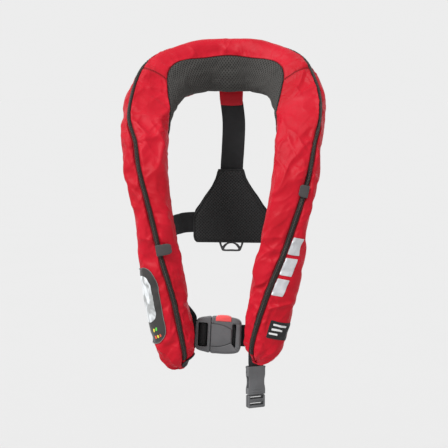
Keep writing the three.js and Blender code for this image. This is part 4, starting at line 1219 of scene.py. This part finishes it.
def pad_surface(name, mat, y_front, y_back, foot, crown_front, crown_back):
    """One closed layer of the back pad: its front and back faces, and the rim that joins them."""
    rows, cols = 46, 42
    z = PAD_TOP - (PAD_TOP - foot) * np.linspace(0, 1, rows)
    w = np.sin(np.linspace(-1, 1, cols) * math.pi / 2)
    half = pad_half(np.interp(z, [foot, PAD_TOP], [PAD_FOOT, PAD_TOP]))
    x = half[:, None] * w[None]
    edge = np.minimum(half[:, None] - np.abs(x), np.minimum(PAD_TOP - z, z - foot)[:, None])
    full = smoothstep(edge, 0, 9.0)
    seam = 1 - 0.55 * np.exp(-((edge - 4.0) / 1.3) ** 2)
    bands = np.ones_like(z)
    for at in (-142, -262.5):
        bands -= 0.5 * np.exp(-((z - at) / 1.6) ** 2)
    lumps = 0.35 * waves(x + 1.3 * z[:, None], (29, 43, 67), 5)
    front = y_front + (1 - full) * 1.6 - crown_front * full * seam * bands[:, None] - lumps * full
    back = y_back - (1 - full) * 0.8 + crown_back * full
    zz = np.repeat(z[:, None], cols, axis=1)
    points = np.stack([[x, front, zz], [x, back, zz]]).transpose(0, 2, 3, 1).reshape(-1, 3)
    n = rows * cols
    quads = grid_faces(rows, cols)
    faces = [q[::-1] for q in quads] + [tuple(n + k for k in q) for q in quads]
    last = n - cols
    rim = (list(range(cols)) + list(range(2 * cols - 1, n, cols)) + list(range(n - 2, last - 1, -1))
           + list(range(last - cols, 0, -cols)))
    faces += [(p, q, n + q, n + p) for p, q in zip(rim, rim[1:] + rim[:1])]
    uv = np.tile(np.stack([zz, x], axis=2).reshape(-1, 2), (2, 1)) * MM
    obj = new_object(name, mesh_of(name, points * MM, faces, uv=uv, seam=np.tile(np.abs(edge).ravel(), 2) * MM), mat)
    return subdivided(facing_out(obj))


def back_pad():
    front = pad_surface("back_pad_padding", PAD_MESH, 114.6, 118.3, PAD_FOOT, 1.6, 0.1)
    placed(front, "jacket", "mesh_fabric", "back_pad")
    rear = pad_surface("back_pad_rear_cloth", SLEEVE, 124.2, 125.8, -253.0, 0.0, 0.6)
    placed(rear, "jacket", "black_fabric", "back_pad_cover")
    # Binding tape round the pad's edge.
    z = np.concatenate([np.linspace(PAD_TOP, PAD_FOOT, 40), np.full(30, PAD_FOOT), np.linspace(PAD_FOOT, PAD_TOP, 40),
                        np.full(12, PAD_TOP)])
    right = pad_half(z[:40])
    foot = np.linspace(right[-1], -right[-1], 32)[1:-1]
    top = np.linspace(-right[0], right[0], 14)[1:-1]
    x = np.concatenate([right, foot, -right[::-1], top])
    path = np.stack([x, np.full_like(x, 116.2), z], axis=1)
    closed_tube("back_pad_binding", path, 1.7, WEBBING_TAPE, "webbing")


# ------------------------------------------------------------------ ring under the pad
RING_Y, RING_Z = 123.1, -264.0


def ring():
    top, foot, bar = RING_Z + 1.8, -288.0, 3.6
    outer = even_loop([(-25, top), (-23, -272), (-19.5, foot + 6), (-17, foot + 1.2), (-12, foot), (0, foot)], (0, top))
    slot_hole = even_loop([(-12.5, foot + bar), (-10.5, -279), (-6, -274.6), (0, -273.2)], (0, foot + bar))
    eye = even_loop([(-20.4, top - bar), (-19.4, -270), (-16.8, foot + 9.5), (-12.5, -274.5), (-6, -271.6),
                     (0, -270.4)], (0, top - bar))
    obj = plate("strap_ring_bar", [outer, slot_hole, eye], RING_Y - 1.8, RING_Y + 1.8, 0.9, DARK, resolution=3)
    placed(obj, "ring", "dark_plastic", "strap_ring")
    # The tab comes down in front of the pad's foot, round the ring's top bar, and up behind it.
    half = [(0, RING_Y - 3.5, RING_Z + 6), (0, RING_Y - 3.5, RING_Z + 1), (0, RING_Y - 2.6, RING_Z - 2.4)]
    back = [(0, RING_Y + 2.6, RING_Z - 2.4), (0, RING_Y + 3.5, RING_Z + 1), (0, RING_Y + 3.5, RING_Z + 6)]
    path = half + [(0, RING_Y, RING_Z - 3.5)] + back
    tape = webbing("ring_tab_tape", path, 22, sideways, thick=1.1, steps=40, ripple=0.0)
    placed(tape, "jacket", "webbing", "ring_tab")


def even_loop(half, last):
    """A smooth loop, the same on both sides of X = 0, from the points of its left half and the last point."""
    return smooth_loop(half + [(-x, z) for x, z in half[-2::-1]] + [last], 5)


# ------------------------------------------------------------------ belt sleeves behind the feet of the arms
def sleeves():
    rows, cols = 44, 12
    for side, label, middle, half, foot_y in ((-1, "left", -404, 54, -90), (1, "right", -398, 48, -83.6)):
        points, uv = [], []
        for v in (i / (rows - 1) for i in range(rows)):
            reach = abs(2 * v - 1)
            belly = 1 - float(smoothstep(reach, 0.78, 1))
            edge_y = foot_y if v > 0.5 else -83.6
            inner = 60 - 18 * (1 - float(smoothstep(reach, 0.4, 1)))
            z = middle + (1 - 2 * v) * half
            for u in (j / (cols - 1) for j in range(cols)):
                x = inner + (84 - inner) * u
                y = edge_y + (-61 - edge_y) * belly - 0.7
                curl = 9.0 * math.exp(-(u / 0.12) ** 2) * belly
                fold = 0.5 * math.sin(9 * v + 3 * u) * belly * math.sin(math.pi * u)
                points.append((side * x, y - curl + fold, z + math.sin(6 * u)))
                uv.append((z, x))
        node = "belt_sleeve_" + label
        obj = sheet_object(node + "_cloth", SLEEVE, points, grid_faces(rows, cols), uv)
        placed(thickened(obj, 1.4, offset=0.0), "jacket", "black_fabric", node)


# ------------------------------------------------------------------ waist buckle
BUCKLE = Matrix.Translation((-3.5 * MM, -80 * MM, -409 * MM)) @ Matrix.Rotation(math.radians(3), 4, "Y")


def buckle():
    front, back = -7.0, 7.0
    half = [(16, 31.9), (30, 30), (37, 26), (39.5, 17)]
    female_outline = smooth_loop([(-13.1, z) for z in (-30.6, -15, 15, 30.6)] + [(0, 32.2)] + half + [(39.5, 0)]
                                 + [(x, -z) for x, z in half[::-1]] + [(0, -32.2)], 5)
    parts = [plate("female_shell", [straight_side(female_outline, -13.1, 30.6), rounded(24.0, 30.2, -21, 21, 2.4)],
                   front + 1.4, back, 1.6, GREY)]
    # The raised middle has curved long edges; a rail below it and grooves in painted shade set it off from the rest.
    span = np.linspace(-12.6, 22.6, 12)
    raised = [(x, -bowed(19.2, x)) for x in span] + [(x, bowed(19.2, x)) for x in span[::-1]]
    parts.append(plate("female_middle", [tidy_loop(raised)], front, front + 5, 1.1, GREY))
    rail = [(x, -bowed(20.6, x)) for x in span] + [(31.6, -22.6)]
    rail += [(x, -29.0 + 0.0035 * (x - 4) ** 2) for x in np.linspace(36.5, -12.6, 16)]
    parts.append(plate("female_rail", [tidy_loop(rail)], front + 0.3, front + 4, 0.9, GREY))
    for side in (-1, 1):
        groove = [(x, side * bowed(20.9, x)) for x in np.linspace(-12.2, 22.4, 12)]
        groove += [(x, side * bowed(18.6, x)) for x in np.linspace(22.4, -12.2, 12)]
        parts.append(plate("female_groove", [tidy_loop(groove)], front + 1.0, front + 2.0, 0.2, GREY_PAINTED_SHADE))
    parts.append(plate("female_end_bar", [rounded(31.4, 38.2, -20.5, 20.5, 3.0)], front + 0.2, front + 4, 1.3, GREY))
    for name, corners, bevel in (
            ("female_top_corner", [(24.4, 22.8), (24.4, 29.6), (30, 28.6), (35, 25.2), (36.8, 22.8)], 0.9),
            ("female_top_left", [(-12.4, 21.4), (-12.4, 29.2), (-8.6, 29.6), (-8.6, 21.4)], 0.8)):
        parts.append(plate(name, [tidy_loop(corners)], front + 0.4, front + 4, bevel, GREY))
    # A dark plate behind the slot: painted shadow where the slot would show through.
    parts.append(plate("female_slot_back", [rounded(23.2, 31, -22, 22, 2.4)], 3.2, 5.0, 0.4, GREY_PAINTED_SHADE))
    place_buckle("buckle_female_shell", parts, "jacket", "buckle_female", "grey_plastic")

    half = [(-24, -30), (-33, -28), (-38.4, -24.5), (-40, -17)]
    male_outline = smooth_loop([(-13.7, z) for z in (30.4, 15, -15, -30.4)] + half + [(-40, 0)]
                               + [(x, -z) for x, z in half[::-1]], 5)
    # The dark plate behind the slot is painted shadow; the rest is the buckle's grey.
    parts = [plate("male_shell", [straight_side(male_outline, -13.7, 30.4), rounded(-35.6, -18.4, -21.2, 21.2, 3.2)],
                   front + 0.8, back, 1.6, GREY),
             plate("male_slot_rim", [rounded(-37.0, -17.0, -22.8, 22.8, 4.2), rounded(-35.4, -18.6, -21, 21, 3.0)],
                   front + 0.2, front + 3, 0.6, GREY),
             plate("male_slot_back", [rounded(-36.4, -17.6, -22, 22, 2.6)], 4.6, 6.4, 0.4, GREY_PAINTED_SHADE),
             plate("male_tongue", [rounded(-14.5, 8.3, -15.6, 15.6, 2)], -2.7, 2.7, 0.8, GREY)]
    place_buckle("buckle_male_shell", parts, "waist_male", "buckle_male", "grey_plastic")

    top = [(-5.6, 25.0), (-5.6, 31.8), (-3.2, 34.0)] + [(x, 35.2 - 0.008 * (x - 8) ** 2) for x in np.linspace(0, 17, 7)]
    top += [(20.2, 33.2), (21.6, 31.2), (21.6, 25.0)]
    parts = [plate("button_body", [tidy_loop(top)], -6.7, 3.8, 1.3, BUTTON_RED, resolution=3)]
    parts += [plate("button_rib", [rounded(-2.5, 18.5, z, z + 0.9, 0.4)], -7.05, -6.0, 0.25, BUTTON_RED)
              for z in (26.8, 28.9, 31.0)]
    place_buckle("buckle_button_cap", parts, "button", "buckle_button", "red_plastic")
    belt_ends()


def bowed(reach, x):
    """Half the height of the raised middle's outline at x; its long edges are bowed."""
    return reach - 0.010 * (x + 6) ** 2


def tidy_loop(points):
    """Points in anticlockwise order."""
    area = sum(a[0] * b[1] - b[0] * a[1] for a, b in zip(points, points[1:] + points[:1]))
    return points if area > 0 else points[::-1]


def straight_side(points, x, z):
    """Keeps the joint side of a half straight."""
    inside = (lambda a: max(a, x)) if x > -13.5 else (lambda a: min(a, x))
    return tidy_loop([(inside(a), max(-z, min(z, b)) if abs(a - x) < 0.8 else b) for a, b in points])


def place_buckle(name, parts, body, node, slot):
    placed(moved(joined(name, parts), BUCKLE), body, slot, node)


def belt_ends():
    """The belt comes from behind each half, turns forward through its slot and folds back behind the bar."""
    left = [(-64, 8.4, 0), (-55, 8.4, 0), (-42, 8.6, 0), (-36.5, 7.8, 0), (-34.0, 3.5, 0), (-32.2, -0.6, 0),
            (-29.5, -2.9, 0), (-25.5, -3.3, 0), (-22.5, -1.8, 0), (-20.8, 1.4, 0), (-20.6, 4.0, 0)]
    right = [(78, 8.4, 0), (58, 8.4, 0), (42, 8.6, 0), (34, 8.2, 0), (30.0, 6.2, 0), (28.0, 2.6, 0), (26.8, -1.0, 0)]
    for name, path, body in (("belt_left_front", left, "waist_male"), ("belt_right_front", right, "jacket")):
        obj = webbing(name + "_webbing", path, 38, lambda *_: (0, 0, 1), steps=60, ripple=0.0)
        placed(moved(obj, BUCKLE), body, "webbing", name)


# ------------------------------------------------------------------ crotch strap
CROTCH_X, CROTCH_Y, CROTCH_TURN = 61.5, -87.5, math.radians(30)
CROTCH = Matrix.Translation((CROTCH_X * MM, CROTCH_Y * MM, 0)) @ Matrix.Rotation(CROTCH_TURN, 4, "Z")


def slab(name, x, z, y, radius, bevel):
    """A grey plate with the outline of a rounded rectangle."""
    return plate(name, [rounded(*x, *z, radius)], *y, bevel, GREY)


def rounded_box(name, x, z, bevel):
    """A moulded block of the crotch buckle's female half, as thick as the gap between its two plates."""
    radius = min(2.2, (x[1] - x[0]) / 2.2, (z[1] - z[0]) / 2.2)
    return plate(name, [rounded(*x, *z, radius, 4)], -5.0, 5.0, bevel, GREY)


def crotch():
    def turn(t, *_):
        angle = CROTCH_TURN * float(smoothstep(t, 0.68, 1))
        return math.cos(angle), math.sin(angle), 0

    web = webbing("crotch_strap_webbing", [(CROTCH_X, CROTCH_Y, z) for z in (-420, -431, -442, -453, -464.4)], 25, turn,
                  steps=80, ripple=0.0)
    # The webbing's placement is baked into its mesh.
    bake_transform(web)
    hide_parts("crotch_strap_anchor", "crotch_webbing")

    half = [(-16, -466), (-16, -476), (-14.6, -484), (-14.6, -492), (-16, -500), (-16, -508), (-14.5, -510.1)]
    outline = smooth_loop([(-15.4, -460.6)] + half + [(0, -510.1)] + [(-x, z) for x, z in half[::-1]]
                          + [(15.4, -460.6), (0, -460.5)], 4)
    parts = [plate("female_front", [outline], -6, -3.7, 1.0, GREY), plate("female_back", [outline], 3.7, 6, 1.0, GREY),
             rounded_box("female_head", (-15.2, 15.2), (-474, -466.4), 1.0),
             rounded_box("female_neck", (-15.6, -13.2), (-470, -461), 0.7),
             rounded_box("female_neck", (13.2, 15.6), (-470, -461), 0.7)]
    for wall in ((-15.7, -13.0), (13.0, 15.7)):
        parts.append(rounded_box("female_rail", wall, (-509.6, -499), 0.8))
        parts.append(rounded_box("female_cheek", wall, (-478, -472), 0.8))
    parts += [slab("female_ridge", (-9, 9), z, (-6.5, -5.4), 1.2, 0.4) for z in ((-506, -503.4), (-501, -498.4))]
    place_crotch("crotch_buckle_female_shell", parts, "crotch_upper", "crotch_buckle_female")

    body = rounded(-16, 16, -533.5, -510.9, 2.6)
    wide = [rounded(-12.6, 12.6, z, z + 5, 1.2) for z in (-517.7, -528.7)]
    narrow = [rounded(-12.6, 12.6, z - 1.3, z + 1.3, 1.2) for z in (-515.3, -526.3)]
    # The middle layer, in painted shade, shows as dark bands through the front's wide slots.
    parts = [plate("male_front", [body] + wide, -5.5, -1.5, 1.2, GREY),
             plate("male_middle", [body] + narrow, -2.6, 1.2, 0.6, GREY_PAINTED_SHADE),
             plate("male_rear", [body] + narrow, 0.0, 5.5, 1.2, GREY)]
    parts += [slab("male_rib", (-11, 11), (z, z + 1), (-6.0, -5.0), 0.4, 0.3) for z in (-522.6, -520.4)]
    parts.append(slab("male_guide", (-3, 3), (-511.4, -476.4), (-2.9, 2.9), 1.2, 0.7))
    for side in (-1, 1):
        arm = [(9, -511.4), (11, -511.4), (11.2, -497.5), (12.4, -495.5), (12.4, -489), (11, -480), (9, -478.8)]
        parts.append(plate("male_prong", [tidy_loop([(side * x, z) for x, z in arm])], -2.9, 2.9, 0.5, GREY))
    place_crotch("crotch_buckle_male_shell", parts, "crotch_lower", "crotch_buckle_male")


def place_crotch(name, parts, body, node):
    placed(moved(joined(name, parts), CROTCH), body, "grey_plastic", node)


# ------------------------------------------------------------------ hidden working parts keep their CAD shape
KEPT = {"gas_cylinder": STEEL, "inflator_body": DARK, "automatic_capsule": YELLOW, "manual_lever": YELLOW,
        "oral_tube": DARK, "oral_tube_cap": DARK, "whistle": YELLOW, "folded_bladder": BLADDER, "button_spring": STEEL}


def finish_kept():
    for name, mat in KEPT.items():
        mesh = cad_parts[name].data
        if not mesh.materials:
            mesh.materials.append(mat)
        for k in range(len(mesh.materials)):
            mesh.materials[k] = mat


camera()
studio()
cover_panels()
seam_allowances()
foot_trim()
zip_line()
window()
patches()
zip_tab("left", SLIDER_PLACE, TAB_PROUD, 27, 19)
zip_tab("right", RIGHT_TAB_PLACE, TAB_PROUD - 2, 17, 21)
zip_slider()
straps()
back_pad()
ring()
sleeves()
buckle()
crotch()
finish_kept()
